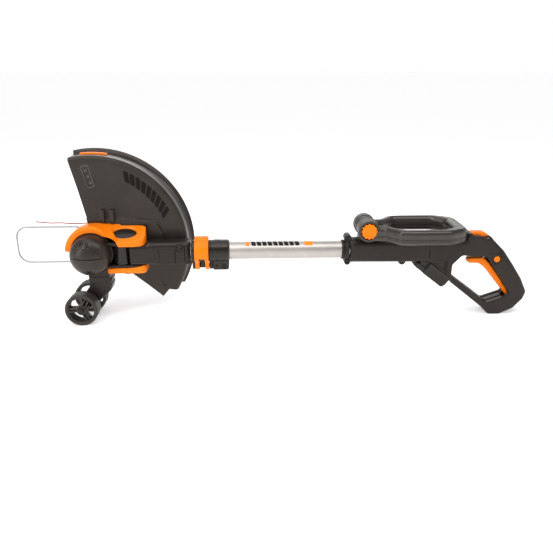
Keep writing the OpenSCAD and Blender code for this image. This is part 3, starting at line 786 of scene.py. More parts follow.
def trim_saddle():
    """Orange band that wraps the dome and runs back into a ring round the tilt button."""
    sections = []
    low = BASE_R + 0.15

    def wrap(degrees, inset):
        a = math.radians(degrees)
        section = saddle_section(SADDLE_TOP, SADDLE_TOP, low, SADDLE_FRONT, SADDLE_BACK, inset)
        sections.append([(h * math.cos(a), y, h * math.sin(a)) for y, h in section])
    for k in range(5):
        quarter = math.pi / 2 * k / 4
        wrap(176 - 2.4 * (1 - math.cos(quarter)), SADDLE_ROUND * (1 - math.sin(quarter)))
    for k in range(1, 33):
        wrap(173.6 - 83.6 * k / 32, 0.0)
    end = 92
    front_r = 17
    back_r = 14
    shoulder_r = 16
    places = [1.5 * k for k in range(1, 50)] + [
        74 + 18 * math.sin(math.pi / 2 * k / 14)
        for k in range(1, 15)
    ]
    for x in places:
        x = min(x, end)
        inset = SADDLE_ROUND - bow(SADDLE_ROUND, max(0.0, x - (end - SADDLE_ROUND)))
        under = max(YOKE_TOP, bow(low, x))
        if 10 < x < 47:
            under = max(under, YOKE_TOP + bow(shoulder_r, max(x, 31) - 31))
        back = SADDLE_BACK
        if x >= end - back_r:
            back += 0.96 * bow(back_r, x - end + back_r) - back_r
        front = SADDLE_FRONT + (RING_FRONT - SADDLE_FRONT) * ease(x, 12, 42)
        if x > end - front_r:
            front = RING_FRONT + front_r - 0.92 * bow(front_r, x - end + front_r)
        back_top = SADDLE_TOP - 3 * ease(x, 8, 46)
        front_top = SADDLE_TOP + (button_plane(front) - SADDLE_TOP) * ease(x, 4, 40)
        front_top = max(front_top, under + 1.2)
        sections.append(
            [(x, y, h) for y, h in saddle_section(front_top, back_top, under, front, back, inset)]
        )
    obj = loft("saddle", sections)

    def around(gap, lift):
        loop = oval(BUTTON_HALF[0] + gap, BUTTON_HALF[1] + gap, BUTTON_AT)
        return [(p[0], p[1], button_plane(p[1]) + lift) for p in loop]
    well = [[(p[0], p[1], z) for p in around(0.6, 0)] for z in (8, 60)]
    bowl = [around(0.1, -3.2), around(0.9, -0.9), around(1.9, 0.25), around(3.6, 4)]
    cut(obj, loft("well", well), loft("bowl", bowl))
    stands_for(obj, "trim_cover", "trim_saddle", ORANGE, 34)


def tilt_push():
    """Glossy black button that crowns gently in the saddle's ring."""
    loop = oval(*BUTTON_HALF, BUTTON_AT, 1.4)

    def crown(points):
        across = ((points[:, 1] - BUTTON_AT[1]) / BUTTON_HALF[1]) ** 2
        along = ((points[:, 0] - BUTTON_AT[0]) / BUTTON_HALF[0]) ** 2
        height = button_plane(points[:, 1]) - 1.9 + 2.0 * np.clip(1 - across - along, 0, 1)
        return 40 - np.maximum(height, 24.4)
    obj = slab("push", [loop], 40, 23.3, 0.0, grid=2.2, plane="xy", slope=crown)
    stands_for(obj, "tilt_button", "tilt_push", GLOSS)


def pivot_shoe():
    """Orange plate below the pivot barrel, higher towards the shaft, and its black cap."""
    shape = outline([[25, -20, 6], [92, -20, 10], [92, 20, 10], [25, 20, 6]], 2.2)

    def hollow(points):
        fall = np.clip((points[:, 0] - 56) / 32, 0, 1)
        return 4.2 * (1 - fall * fall)
    obj = slab("shoe", [shape], -20.6, -34, 1.0, grid=3, plane="xy", slope=hollow)
    notch = rod("notch", BASE_R + 0.3, -30, 30, steps=128)
    stands_for(cut(obj, notch), "pivot_cover", "pivot_shoe", ORANGE)
    cap = turned("cap", [
        [0, -37.5, 0], [11, -37.5, 0.8], [12.4, -36.6, 0.8], [14, -36.2, 1.0], [14, -33.6, 0.2], [0, -33.6, 0]
    ], "z", (59, 0), steps=64)
    cut(cap, block("coin", (50, 68), (-1.1, 1.1), (-38, -36.4)))
    stands_for(cap, "pivot_cap", "pivot_cap_disc", DARK)


def guard_shift(hub):
    """Raises the guard's hub out of its face and hollows the face a little outside it."""
    def shift(r, y, a):
        if y > FACE_Y + 1.5 or r > 151 or r < 8:
            return r, y
        lift = hub(np.array([[r * math.cos(a), r * math.sin(a)]]))[0]
        return r, y + lift + 1.6 * math.sin(max(0.0, min(1.0, (r - 70) / 80)) * math.pi)
    return shift


def polar(points):
    """(degrees, radius) turned into (x, z) round the motor's axis."""
    return [(r * math.cos(math.radians(a)), r * math.sin(math.radians(a))) for a, r in points]


def guard_moulding():
    """Sector guard: a face with a raised hub, a beaded crest, a deep skirt and a lip."""
    hub_edge = [
        [-60, 56, 0], [-12, 56, 0], [54, 55, 0], [86, 52, 30], [110, 46, 14], [121, 24, 20], [118, -6, 8],
        [-60, -12, 0]
    ]
    hub = recess(hub_edge, -5.0, 3.2)[1]
    corners = [
        [151, FACE_Y, 0], [157.8, FACE_Y + 0.4, 2.5], [161, 30.5, 4], [161, 60, 6], [162.5, 68, 6],
        [168, 71.6, 1.2], [168, 75, 1.2], [160.5, 75, 2.5], [158.6, 68, 5], [158.3, 36, 4], [151.5, 28.4, 4]
    ]
    rim = [p[:2] for p in rounded(corners)]
    face = [(r, FACE_Y) for r in [5, 12, 20, 30, *np.arange(34, 150.1, 1.7)]]
    back = [(r, FACE_Y + 2.5) for r in [148, 120, 90, 60, 36, 20, 5]]
    obj = lathe(
        "guard", [*face, *rim, *back], steps=168, arc=(math.radians(-40), math.radians(102.6)),
        ripple=guard_shift(hub)
    )
    ends = polar([(-48, 146.5), (-48, 175), (-28.5, 175), (-33, 146.5)])
    cut(obj, loft("notch", [[(x, y, z) for x, z in ends] for y in (20, 80)]))
    ribs = []
    for x in (12, 28.5):
        shape = outline([[x, 15.6, 2.2], [x + 8, 15.6, 2.2], [x + 8, 26, 0.5], [x, 26, 0.5]], 1.2, 1.5)
        ribs.append(slab("rib", [shape], 69.5, 46, plane="xy"))
        foot = outline([[x - 2.4, 45.5, 2], [x + 10.4, 45.5, 2], [x + 10.4, 73, 4], [x - 2.4, 73, 4]], 1.3, 2)
        ribs.append(slab("foot", [foot], FACE_Y - 1.0, FACE_Y + 1.0, 0.0))
    arrow = outline([[111, -72, 0.6], [118, -72, 0.6], [114.5, -78, 0.6]], 0.5, 1.5)
    ribs.append(slab("arrow", [arrow], FACE_Y - 0.7, FACE_Y + 2, 0.0))
    stands_for(joined("guard", obj, *ribs), "guard", "guard_moulding", GUARD, 30)


def guard_marks():
    """A plain framed plate with three blocks, and a row of slanted bars, both flush on the face."""
    outer = outline([[-15.4, 144, 3.5], [-1, 147, 3.5], [8, 109, 3.5], [-5.2, 104.4, 3.5]], 0.4, 2)
    inner = outline([[-12.6, 141.4, 2.2], [-2.6, 143.6, 2.2], [5, 110.6, 2.2], [-4.2, 107.4, 2.2]], 0.4, 2)
    marks = [slab("frame", [outer, inner], FACE_Y - 0.3, FACE_Y + 2.2, 0.0, rings=3)]
    for k in range(3):
        x = -8.8 + 3.4 * k
        z = 136.2 - 10.4 * k
        tile = outline(
            [[x, z + 2.2, 0.6], [x + 4.8, z + 3, 0.6], [x + 4.8, z - 2.2, 0.6], [x, z - 3, 0.6]], 0.3, 1.5
        )
        marks.append(slab("mark", [tile], FACE_Y - 0.3, FACE_Y + 2.2, 0.0, rings=3))
    # The frame and blocks get the lighter grey, a painted highlight of their raised edges.
    finish(joined("marks", *marks), "guard_plate_frame", MARK_PAINTED_HIGHLIGHT, BODY_OF["guard"])
    bars = []
    for k in range(9):
        a = 65.5 - 4.6 * k
        corners = polar([(a + 2, 147.5), (a - 1.5, 147.5), (a - 5.5, 131), (a - 2, 131)])
        shape = outline([[x, z, 0.8] for x, z in corners], 0.5, 2)
        bars.append(slab("bar", [shape], FACE_Y - 0.8, FACE_Y + 2.0, 0.0))
    finish(joined("bars", *bars), "guard_grip_bars", PRINT_BLACK, BODY_OF["guard"])


def guard_fittings():
    """The orange strip on the guard's crest, and the line cutter."""
    strip = turned("strip", [
        [160.6, 45.5, 0.4], [163.8, 45.5, 0.9], [163.8, 54.5, 0.9], [160.6, 54.5, 0.4]
    ], steps=24, arc=(math.radians(80.5), math.radians(96.6)))
    stands_for(bevelled(strip, 0.6), "blade_cover", "blade_cover_strip", ORANGE)
    stands_for(softened("blade", "cutter_blade", 0.12), "cutter_blade", "cutter_blade_edge", STEEL)


def wheel(side, cad, name):
    """Guide wheel: deep rounded rim, three pairs of thin spokes near its face, and a hub."""
    def ring_of(corners, steps):
        return turned(
            "ring", [[r, side * (WHEEL_FACE - t), e] for r, t, e in corners], "y", WHEEL_AT, steps=steps
        )
    rim = ring_of([
        [21.6, 1.6, 0.6], [23.0, 1.4, 0.5], [23.8, 0.3, 0.6], [26.2, 0, 0.8], [28, 2.0, 1.6], [28, 11.8, 0.3],
        [27.6, 12.2, 0.2], [27.6, 13.2, 0.2], [28, 13.6, 0.3], [28, WHEEL_DEPTH - 2, 1.6],
        [26.2, WHEEL_DEPTH, 0.8],
        [23.4, WHEEL_DEPTH, 0.5], [22.2, WHEEL_DEPTH - 3, 1.5]
    ], 128)
    hub = ring_of([
        [3.08, 3, 0.2], [5.4, 3, 0.3], [5.6, 0.8, 0.3], [8.4, 0.8, 0.8], [8.8, 9, 0.2], [8.4, 17.2, 0.8],
        [5.6, 17.2, 0.3], [5.4, 15, 0.3], [3.08, 15, 0.2]
    ], 64)
    spokes = []
    for degrees in (60, 180, 300):
        for shift in (-2.6, 2.6):
            ends = sorted((side * (WHEEL_FACE - 2), side * (WHEEL_FACE - 16.5)))
            spoke = block("spoke", (7.6, 22.8), ends, (shift - 1.1, shift + 1.1), 0.5)
            spin = Matrix.Rotation(-math.radians(degrees), 4, "Y")
            move = Matrix.Translation(Vector((WHEEL_AT[0], 0, WHEEL_AT[1])) * MM)
            spoke.data.transform(Matrix.Translation(ORIGIN) @ move @ spin @ Matrix.Translation(-ORIGIN))
            spokes.append(spoke)
    stands_for(joined("wheel", rim, hub, *spokes), cad, name, TYRE)


def bracket():
    """Leg from the motor's base down to the axle, with a sunk panel and a toothed edge."""
    shape = [
        [-8, -20, 0, 0.5], [26, -20, 0, 0.5], [27.6, -44.5, 0.6, 1.2], [30.4, -45.5, 0.7, 0.8],
        [30.4, -49.6, 0.7, 0.8],
        [28.2, -50.6, 0.5, 0.8], [28.2, -53.4, 0.5, 0.8], [30.2, -54.6, 0.7, 0.8], [29.4, -59.6, 1.2, 1.2],
        [27.5, -66, 4, 2], [8, -84, 6, 2], [-14, -99, 4, 2], [-27, -94, 4, 2], [-25, -80, 6, 2],
        [-8.5, -58, 6, 2]
    ]
    panel = [
        [-2.6, -55, 2], [0.4, -51, 2.4], [14.4, -51, 3], [17.4, -56.5, 3], [18, -70, 5], [6, -79, 5],
        [-8, -84, 5], [-14, -78, 4]
    ]
    details = [
        recess(panel, 1.3, 1.0), groove([(-6.5, -40.6), (27, -40.6)], 1.2, 0.6),
        groove([(21.6, -47), (21.6, -68)], 1.0, 0.5)
    ]
    leg = slab("leg", [outline(shape, step=3)], -16, 16, 1.0, details, grid=5)
    sleeve = turned("sleeve", [
        [3.1, -25.5, 0.3], [6.8, -25.5, 0.6], [8, -24.5, 0.8], [8, 24.5, 0.8], [6.8, 25.5, 0.6],
        [3.1, 25.5, 0.3]
    ], "y", WHEEL_AT, steps=64)
    hollow = rod("hollow", BASE_R - 0.6, -30, 40, steps=128)
    cut(leg, hollow)
    stands_for(joined("bracket", leg, sleeve), "wheel_bracket", "bracket_leg", HOUSING)
    caps = []
    for y, way in ((-47.5, 1), (47.5, -1)):
        caps.append(turned("cap", [
            [0, y, 0], [3.6, y, 1.0], [5, y + way * 1.2, 0.8], [5, y + way * 3, 0.2], [0, y + way * 3, 0]
        ], "y", WHEEL_AT, steps=40))
    stands_for(joined("caps", *caps), "axle_caps", "axle_cap_pair", DARK)


def wire_loop():
    """Plated wire that keeps the line off what isn't to be cut."""
    half = 32.6
    bar = 126
    bend = 20
    side = [(-12, 31, z) for z in range(22, 31, 2)]
    side += [(-12, 31, 31.2), (-12.6, 31.3, 32.3), (-14.2, 32.2, half), (-17, 34, half)]
    side += [(-26, 39.6, half), (-34, 44.6, half), (-38.5, 47, half), (-44, 48, half)]
    side += [(-44 - 8.2 * k, 48, half) for k in range(1, 10)]
    corner = [
        (-bar - bend * math.sin(math.radians(a)), 48, half - bend + bend * math.cos(math.radians(a)))
        for a in range(0, 91, 6)
    ]
    upper = side + corner
    lower = [(x, y, -z) for x, y, z in reversed(upper)]
    stands_for(
        tube_along("wire", smooth_path(upper + lower, 2), 1.5, 20), "wire_guard", "wire_loop", WIRE, 60
    )


def cutting_head():
    """Everything that tilts with the motor."""
    dome()
    yoke()
    trim_saddle()
    tilt_push()
    pivot_shoe()
    guard_moulding()
    guard_marks()
    guard_fittings()
    bracket()
    wheel(-1, "wheel_near", "guide_wheel_near")
    wheel(1, "wheel_far", "guide_wheel_far")
    wire_loop()
    stands_for(softened("plate", "rear_plate", 0.6), "rear_plate", "clamp_plate", HOUSING)
    places = [(x, 32, z) for x, z in polar([(a, 24) for a in (20, 65, 165, 262)])]
    stands_for(screw_heads("heads", places, 3.5, 2.5, "y", 1), "head_screws", "head_screw_set", ZINC)


def wound_line():
    """Nine turns of line side by side on the spool."""
    turns = [(13.2, 42)]
    for k in range(9):
        y = 42 + 15 * (k + 0.5) / 9
        turns += [(20.9 + 0.75 * math.sin(math.pi * s / 4) - 0.7, y + 0.83 * (s - 2) / 2) for s in range(5)]
    turns.append((13.2, 57))
    stands_for(lathe("coil", turns, steps=96), "line_coil", "line_winding", LINE)


def spool_cap():
    """Round cap with eighteen flutes in its rim."""
    def fluted(r, y, a):
        return (r - 0.9 * max(0.0, math.cos(a * 18)) ** 3, y) if r > 27 else (r, y)
    cap = turned("cap", [
        [0, 66, 0], [23, 66, 0.5], [26, 62.2, 0.5], [29, 62.2, 0.6], [29, 68, 2.0], [25, 72.4, 1.5],
        [18, 73.2, 0.6],
        [17.2, 72.2, 0.5], [9, 72.2, 0.5], [8.4, 74, 1.0], [0, 74, 0]
    ], steps=180, ripple=fluted)
    stands_for(cap, "spool_cap", "spool_cap_knob", HOUSING)


def free_line():
    """The end of the line, from the spool's rim out beside the wire guard."""
    y = 54
    points = [
        (8, y, 25), (8, y, 30), (7.4, y, 34), (4, y, 37), (-3, y, 38.2), (-18, y, 38), (-35, y, 37),
        (-52, y, 37.4),
        (-68, y, 38.6), (-84, y, 38.4), (-98, y, 39.6), (-111, y, 41)
    ]
    line = tube_along("line", smooth_path(points, 5), 1.0, 12)
    stands_for(line, "cutting_line", "cutting_filament", LINE, 60)


def line_parts():
    """Everything that spins with the motor's shaft and shows."""
    stands_for(softened("cup", "line_head", 0.7), "line_head", "line_cup", DARK)
    stands_for(softened("spool", "spool", 0.3), "spool", "line_spool", HOUSING)
    wound_line()
    spool_cap()
    free_line()


# ---- Arm and telescopic shaft ----
INNER_R = 12
TUBE_R = 15
PRINT = 0.08


def pivot_drum():
    """Glossy barrel that the arm ends in, with a lip above and below."""
    barrel = turned("barrel", [
        [5.1, -20, 0.3], [15.2, -20, 0.6], [16, -19, 0.8], [16, -17.6, 0.3], [15.7, -17.2, 0.3],
        [15.7, 11.4, 0.3], [16, 11.8, 0.3], [16, 13.2, 0.8], [15.2, 14, 0.6], [5.1, 14, 0.3]
    ], "z", PIVOT_AT, steps=96)
    stands_for(barrel, "pivot_barrel", "pivot_drum", GLOSS)


def arm_clip():
    """Round clip with a tongue, on the near half of the arm."""
    clip = turned("clip", [
        [0, -18.6, 0], [1.6, -18.6, 0.2], [2.0, -19.6, 0.3], [3.6, -19.6, 0.6], [4.4, -18.4, 0.5],
        [4.4, -16, 0], [0, -16, 0]
    ], "y", (149.6, 8), steps=48)
    shape = outline([[147, 10, 1], [155, 10, 1], [155, 15.5, 2], [147, 15.5, 2]], 0.8, 1.5)
    return clip, slab("tongue", [shape], -18.6, -15, 0.0)


def arm_half(side, cad, name):
    """One half of the arm, with sunk panels and seams, bored for the inner tube."""
    shape = [
        [65, -19, 2, 2.4], [65, 13.7, 1, 1.2], [93, 13.7, 1.5, 1.5], [94.5, 19.5, 2.5, 9],
        [168, 19.5, 2, 9], [168, -19, 2, 2.4]
    ]
    details = [
        groove([(64, 10.9), (108, 10.9)], 1.0, 0.7),
        recess([[113, 9.2, 1], [141.5, 9.2, 2], [141.5, -16.6, 2], [113, -16.6, 1], [115, -4, 20]], 1.3, 0.9),
        recess([[66, 9.4, 1.5], [107, 9.4, 3], [109.6, -4, 18], [107, -16.6, 3], [66, -16.6, 1.5]], 0.7, 0.8),
        recess([[144.6, 4, 1.5], [156.4, 4, 1.5], [156.4, 16.6, 3], [144.6, 16.6, 3]], 0.9, 0.7),
        groove([(142.8, 8), (142.8, -17)], 0.9, 0.8),
        groove([(159, 12), (159, -17)], 1.3, 0.9),
        groove([(164, 13), (164, -17)], 1.0, 0.7),
    ]
    half = slab("half", [outline(shape, step=3)], side * 18, side * 0.1, 0.0, details, grid=4)
    cut(half, rod("bore", INNER_R + 0.05, 60, 172, "x"), rod("drum", 16.1, -30, 30, "z", PIVOT_AT))
    if side < 0:
        half = joined("half", half, *arm_clip())
    stands_for(half, cad, name, HOUSING)


def arm():
    """Pivot barrel, the two clamped halves, and the plugs over their screws."""
    pivot_drum()
    arm_half(-1, "arm_near", "arm_half_near")
    arm_half(1, "arm_far", "arm_half_far")
    places = [(80, -17.6, -4), (100, -17.6, -13), (100, -17.6, 12), (160, -17.4, -15.6)]
    plugs = [
        turned(
            "plug", [[0, y + 2, 0], [2.7, y + 2, 0.1], [2.7, y + 0.2, 0.3], [0, y, 0]], "y", (x, z),
            steps=32
        )
        for x, y, z in places
    ]
    stands_for(joined("plugs", *plugs), "arm_screws", "arm_screw_plugs", HOUSING)


def pipe(node_name, outer, inner, name):
    """A tube as long as its CAD node, with its ends eased."""
    x0, x1 = (corner.x for corner in span(node_name))
    obj = turned("pipe", [
        [inner, x0, 0.2], [outer, x0, 0.4], [outer, x1, 0.4], [inner, x1, 0.2]
    ], "x", steps=128)
    stands_for(obj, node_name, name, ALUMINIUM)


def print_patch(x0, x1, lean):
    """A thin printed patch on the upper near side of the tube, leaning along it by lean."""
    sections = []
    for k in range(25):
        a = math.radians(42 + 92 * k / 24)
        shift = lean * (k / 12 - 1)
        section = ((x0, TUBE_R), (x0, TUBE_R + PRINT), (x1, TUBE_R + PRINT), (x1, TUBE_R))
        sections.append([(x + shift, r * math.cos(a), r * math.sin(a)) for x, r in section])
    return loft("patch", sections)


def tubes():
    """The two satin tubes, and the plain printed bands and bars on the outer one."""
    pipe("inner_tube", INNER_R, 10.6, "inner_tube_satin")
    pipe("outer_tube", TUBE_R, 13.7, "outer_tube_satin")
    bands = [(263, 269.5, PRINT_ORANGE, "tube_print_front"), (365, 379.5, PRINT_ORANGE, "tube_print_rear")]
    for x0, x1, material, name in bands:
        finish(print_patch(x0, x1, 0), name, material, BODY_OF["outer_tube"])
    bars = [print_patch(272 + 9.4 * k, 279.4 + 9.4 * k, 2.2) for k in range(9)]
    finish(joined("bars", *bars), "tube_print_bars", PRINT_BLACK, BODY_OF["outer_tube"])


def collar():
    """Clamping collar between the tubes: a ringed body, two lugs, a screw boss and two ribs."""
    body = turned("collar", [
        [12.5, 170, 0.3], [17.6, 170, 1.0], [19.5, 171.4, 1.2], [19.5, 174.2, 0.8], [19.0, 175, 0.4],
        [19.0, 200.4, 0.4],
        [19.5, 201, 0.5], [19.5, 203, 0.4], [18.9, 203.6, 0.3], [18.9, 205.6, 0.3], [19.5, 206.2, 0.5],
        [19.5, 232.6, 2.4], [17.4, 235, 1.6], [15.05, 235, 0.3], [15.05, 178, 0.2], [12.5, 178, 0.2]
    ], "x", steps=128)
    lugs = []
    for half, low, rim, x0, x1 in (
        (6, -32, 0.9, 170.2, 175), (6, -32, 0.9, 200, 206), (5, -30, 0.8, 182.8, 192.7)
    ):
        shape = outline([[-half, low, 2.5], [half, low, 2.5], [half, -12, 0], [-half, -12, 0]], rim)
        lugs.append(slab("lug", [shape], x0, x1, plane="yz"))
    boss = outline([[206.4, -31, 3, 1.6], [234, -31, 4, 2], [234.4, -12.5, 1.5, 1.6], [206.4, -12.5, 1, 1.6]])
    eye = recess(ring(4.6, (225, -24), steps=32), 1.0, 0.5)
    lugs.append(slab("boss", [boss], -14.4, 14.4, details=[eye], grid=4))
    lugs += [block("rib", (x, x + 2), (-2, 2), (19, 20.4), 0.5) for x in (211, 216)]
    stands_for(joined("collar", body, *lugs), "collar", "collar_body", GLOSS)
    heads = screw_heads("screws", [(225, -13.5, -24), (212.5, -14.2, -24)], 3.0, 1.4)
    stands_for(heads, "collar_screws", "collar_screw_set", DARK)


def lever():
    """Orange clamp lever wrapped round the near side of the collar."""
    def at(radius, degrees):
        return [radius * math.cos(math.radians(degrees)), radius * math.sin(math.radians(degrees)), 0]
    x0, x1 = (corner.x for corner in span("lock_lever"))
    shape = [[4, 25.6, 1.6], [-5.5, 25.6, 2.2]]
    shape += [at(23.8, d) for d in range(112, 237, 5)]
    shape += [[-11.5, -26.5, 5], [-8.0, -32, 2.5], [2.2, -32, 3.2], [5, -27, 3], [3.4, -22.6, 1.4]]
    shape += [at(20.1, d) for d in range(256, 91, -5)]
    shape += [[4, 20.3, 0.8]]
    obj = slab("lever", [outline(shape, 1.3, 3)], x0, x1, 1.0, grid=20, plane="yz", rings=4)
    slot = slab(
        "slot", [outline([[182.5, -40, 0], [193, -40, 0], [193, -9, 1.2], [182.5, -9, 1.2]])], -40, 10
    )
    cut(obj, slot)
    grips = [
        block("grip", (x, x + 1.4), (-4.5, 3), (25.0, 26.3), 0.5)
        for x in (179.5, 183.5, 187.5, 191.5, 195.0)
    ]
    stands_for(joined("lever", obj, *grips), "lock_lever", "lever_clamp", ORANGE)


# ---- Rear handle ----
HALF = 19
HOUSING_OUTLINE = [
    [442, -20, 2, 9], [442, 20, 2, 11], [643, 20, 3, 10], [651, 30.6, 3, 4], [655.2, 30.8, 1.2, 2.5],
    [657, 26.2, 2, 2],
    [671, 25.6, 2, 2], [676, 21.2, 2, 2.5], [687, 21.2, 0.8, 3], [689, 24.6, 1.2, 4], [696, 17, 8, 7],
    [717, -3, 34, 9], [736, -29, 70, 9], [753.5, -54.5, 60, 9], [765.6, -80, 9, 8], [759, -93, 12, 5],
    [742, -110, 14, 3],
    [718, -120, 16, 2], [698, -120, 12, 2], [685, -106, 20, 2], [624, -58, 4, 2], [621, -50.2, 1, 2],
    [581.7, -20, 4, 5]
]
OPENING = [
    [625, -46, 5], [625, -26, 8], [641, -9, 8], [686, -12, 10], [696, -28, 20], [716, -55, 30], [732, -80, 3],
    [728, -86, 5], [694, -98, 6]
]
POCKET = [
    [658, -22, 0], [658, -6, 1], [674, -4, 1], [695, -4, 4], [709, -19, 4], [730, -49, 20], [749, -84, 4],
    [744, -98, 3], [730, -98, 3], [720, -84, 3], [698, -40, 3]
]
SCREWS = [(536.5, -20), (600, 4), (660, 4), (724, -28), (756, -79), (716, -111), (655, -75.5)]
SIDE_BUTTON = (703, -16)


def handle_half(side, cad, name):
    """One moulded half of the rear handle, with its panels, seams and pockets."""
    details = [
        groove([(582.4, 11), (582.8, -14)], 1.3, 0.8),
        groove([(656.6, -70.6), (650.6, -79.6)], 1.1, 0.7),
        recess([[590, -20.4, 1], [612.2, -19.8, 0.5], [612.2, -37, 1]], 1.6, 0.7),
        groove([(614.6, -18), (614.6, -42)], 1.4, 1.0),
        groove([(561, -19.6), (581, -19.6)], 1.0, 0.6),
        groove(circle_line(9.2, SIDE_BUTTON), 1.3, 0.6),
        groove([(689.5, -4.5), (712, -5.5), (722, -24)], 1.2, 0.5),
        groove([(446, -13.5), (534, -13.5)], 1.0, 0.4),
    ]
    if side < 0:
        details += [groove([(736, -93), (752, -75)], 1.0, 0.5)]
    loops = [outline(HOUSING_OUTLINE, step=3), outline(OPENING, 2.0, 3)]
    grooves = [(0, 0.22), (1.8, 0.3), (1.8, 0.72), (0, 0.8), (0, 0.97), (0.5, 0.995)]
    seam = [(0, 0.965), (0.5, 0.99)]
    obj = slab("half", loops, side * HALF, side * 0.05, 0.0, details, 7, [seam, grooves])
    tools = [
        slab("pocket", [outline(POCKET)], -8.5, 8.5),
        block("well", (655.2, 686.8), (-9.6, 9.6), (18.8, 45)),
    ]
    if side < 0:
        tools.append(rod("hole", 6.3, -21, -9.8, "y", SIDE_BUTTON, 48))
    else:
        tools += [rod("hole", 2.9, 16, 21, "y", at, 32) for at in SCREWS]
    cut(obj, *tools)
    lug = turned("lug", [
        [0, side * 1, 0], [6.5, side * 1, 0.5], [6.5, side * 14, 1.5], [0, side * 14, 0]
    ], "y", (536.5, -19.4))
    stands_for(joined("half", obj, lug), cad, name, HOUSING, 34)


def front_collar():
    """Ring at the mouth of the handle, with a screw boss above and below."""
    mouth = turned("ring", [
        [15.05, 430, 0.3], [16.6, 430, 0.8], [17.2, 431.4, 0.4], [17.2, 433.6, 0.4], [16.4, 434.2, 0.3],
        [16.4, 435.2, 0.3],
        [18.4, 436, 0.8], [18.6, 442.6, 0.5], [15.05, 442.6, 0.3]
    ], "x", steps=96)
    bosses = []
    for x, z, r in ((440.5, 21.6, 6.4), (440.5, -20.6, 5.4)):
        bosses.append(turned("boss", [
            [0, -10, 0], [r - 2.4, -10, 0.3], [r - 2.2, -10.6, 0.2], [r, -10.6, 1.0], [r, 10.6, 1.0],
            [0, 10.6, 0]
        ], "y", (x, z), steps=48))
    stands_for(joined("flange", mouth, *bosses), "front_flange", "handle_mouth_ring", DARK)


def trigger():
    """Orange lever that fills the front of the hand grip."""
    shape = [
        [655, -26, 4.4], [655, -17, 4.4], [684, -16, 6], [695, -27, 10], [716, -54, 40], [738.5, -85.5, 2],
        [735, -91, 1.5], [709, -60.5, 40], [690, -38, 18], [676, -27, 10]
    ]
    obj = slab("trigger", [outline(shape, 2.4, 2.5)], -8, 8, 1.0, grid=4)
    stands_for(obj, "trigger", "trigger_lever", ORANGE)


def buttons():
    """Ridged thumb slider on top of the grip, and the round button on its near side."""
    shape = [
        [656.2, 27, 1], [656.4, 29.4, 2], [661, 31, 5], [680, 30.2, 9], [686, 26, 3], [686, 22, 1],
        [656.2, 22, 0.6]
    ]
    # This seam has no depth. It only sets where the lines of the mesh run.
    seam = groove([(662, 28), (663, 31)], 1.0, 0.0)
    top = slab("thumb", [outline(shape, 2.6, 2)], -9, 9, 1.0, [seam], grid=3)
    ridges = [block("ridge", (x, x + 1.3), (-6, 6), (29.6, 31.15), 0.5) for x in (664, 667.5, 671, 674.5)]
    stands_for(joined("thumb", top, *ridges), "thumb_button", "thumb_slider", ORANGE)
    side = turned(
        "side", [[0, -19.6, 0], [3, -20, 1.5], [5.4, -19.3, 1.2], [5.5, -12.5, 0.3], [0, -12.5, 0]], "y",
        SIDE_BUTTON, steps=64
    )
    stands_for(side, "side_button", "side_release", ORANGE)


DOCK_AT = (583, -21)
DOCK_ANGLE = math.radians(-37.5)


def dock_point(s, t):
    """Where a point of the dock lies: s along its seat, t down from the housing."""
    return [
        DOCK_AT[0] + s * math.cos(DOCK_ANGLE) + t * math.sin(DOCK_ANGLE),
        DOCK_AT[1] + s * math.sin(DOCK_ANGLE) - t * math.cos(DOCK_ANGLE)
    ]


def dock_shape(corners, rim=0.0, step=4.0):
    """An outline from corners (s, t, radius) on the dock."""
    return outline([[*dock_point(s, t), radius] for s, t, radius in corners], rim, step)


def dock():
    """Battery shoe: a finely ribbed block with a tongue, two rails and two channels."""
    body = dock_shape([(4, -1, 0.5), (50, -1, 0.5), (50, 14.5, 2), (46.5, 21, 1.5), (4, 21, 0.8)], 0.8, 2.5)
    pitch = 2.2
    fine = [dock_point(6 + pitch / 5 * k, t) for k in range(97) for t in (1.5, 6, 11, 15, 19)]

    def lines(points):
        u = points[:, 0] - DOCK_AT[0]
        v = points[:, 1] - DOCK_AT[1]
        s = u * math.cos(DOCK_ANGLE) + v * math.sin(DOCK_ANGLE)
        t = u * math.sin(DOCK_ANGLE) - v * math.cos(DOCK_ANGLE)
        edge = np.clip(np.minimum.reduce([s - 5.5, 48.5 - s, t - 1.2, 19.6 - t]) / 0.6, 0, 1)
        return edge * (0.45 + 0.35 * np.cos(2 * math.pi * s / pitch))
    block_body = slab("dock", [body], -20, 20, 1.0, [(np.array(fine), lines)], grid=6)
    tongue = slab(
        "tongue", [dock_shape([(-15, 12, 1), (6, 12, 0), (6, 20.5, 0), (-15, 20.5, 1.5)], 0.8)], -17, 17
    )
    rails = []
    for y in (-12, 12):
        slot = dock_shape([(-16.5, 8, 0), (24, 8, 0), (24, 18, 0), (-16.5, 18, 0)])
        rails.append(slab("rail", [slot], y - 1.5, y + 1.5))
    neck = slab("neck", [outline([
        [*dock_point(-9, 12.5), 1], [*dock_point(6, 12.5), 0], [592, -18.5, 0], [569, -19.2, 1]
    ], 0.6)], -14.5, 14.5)
    shoe = cut(block_body, tongue, neck, how="UNION")
    cut(shoe, *rails)
    channels = []
    for y in (-20.5, 20.5):
        lip = dock_shape([(0, 15.5, 0), (44, 15.5, 0), (44, 17.5, 0), (0, 17.5, 0)])
        channels.append(slab("channel", [lip], y - 0.9, y + 0.9))
    cut(shoe, *channels)
    stands_for(shoe, "battery_dock", "battery_shoe", PANEL, 30)


# ---- Front handle ----
FOLD = (473, 39.2)


def both_sides(half):
    """The corners, then the same corners mirrored across v = 0 on the way back."""
    return half + [[u, -v, r] for u, v, r in reversed(half)]


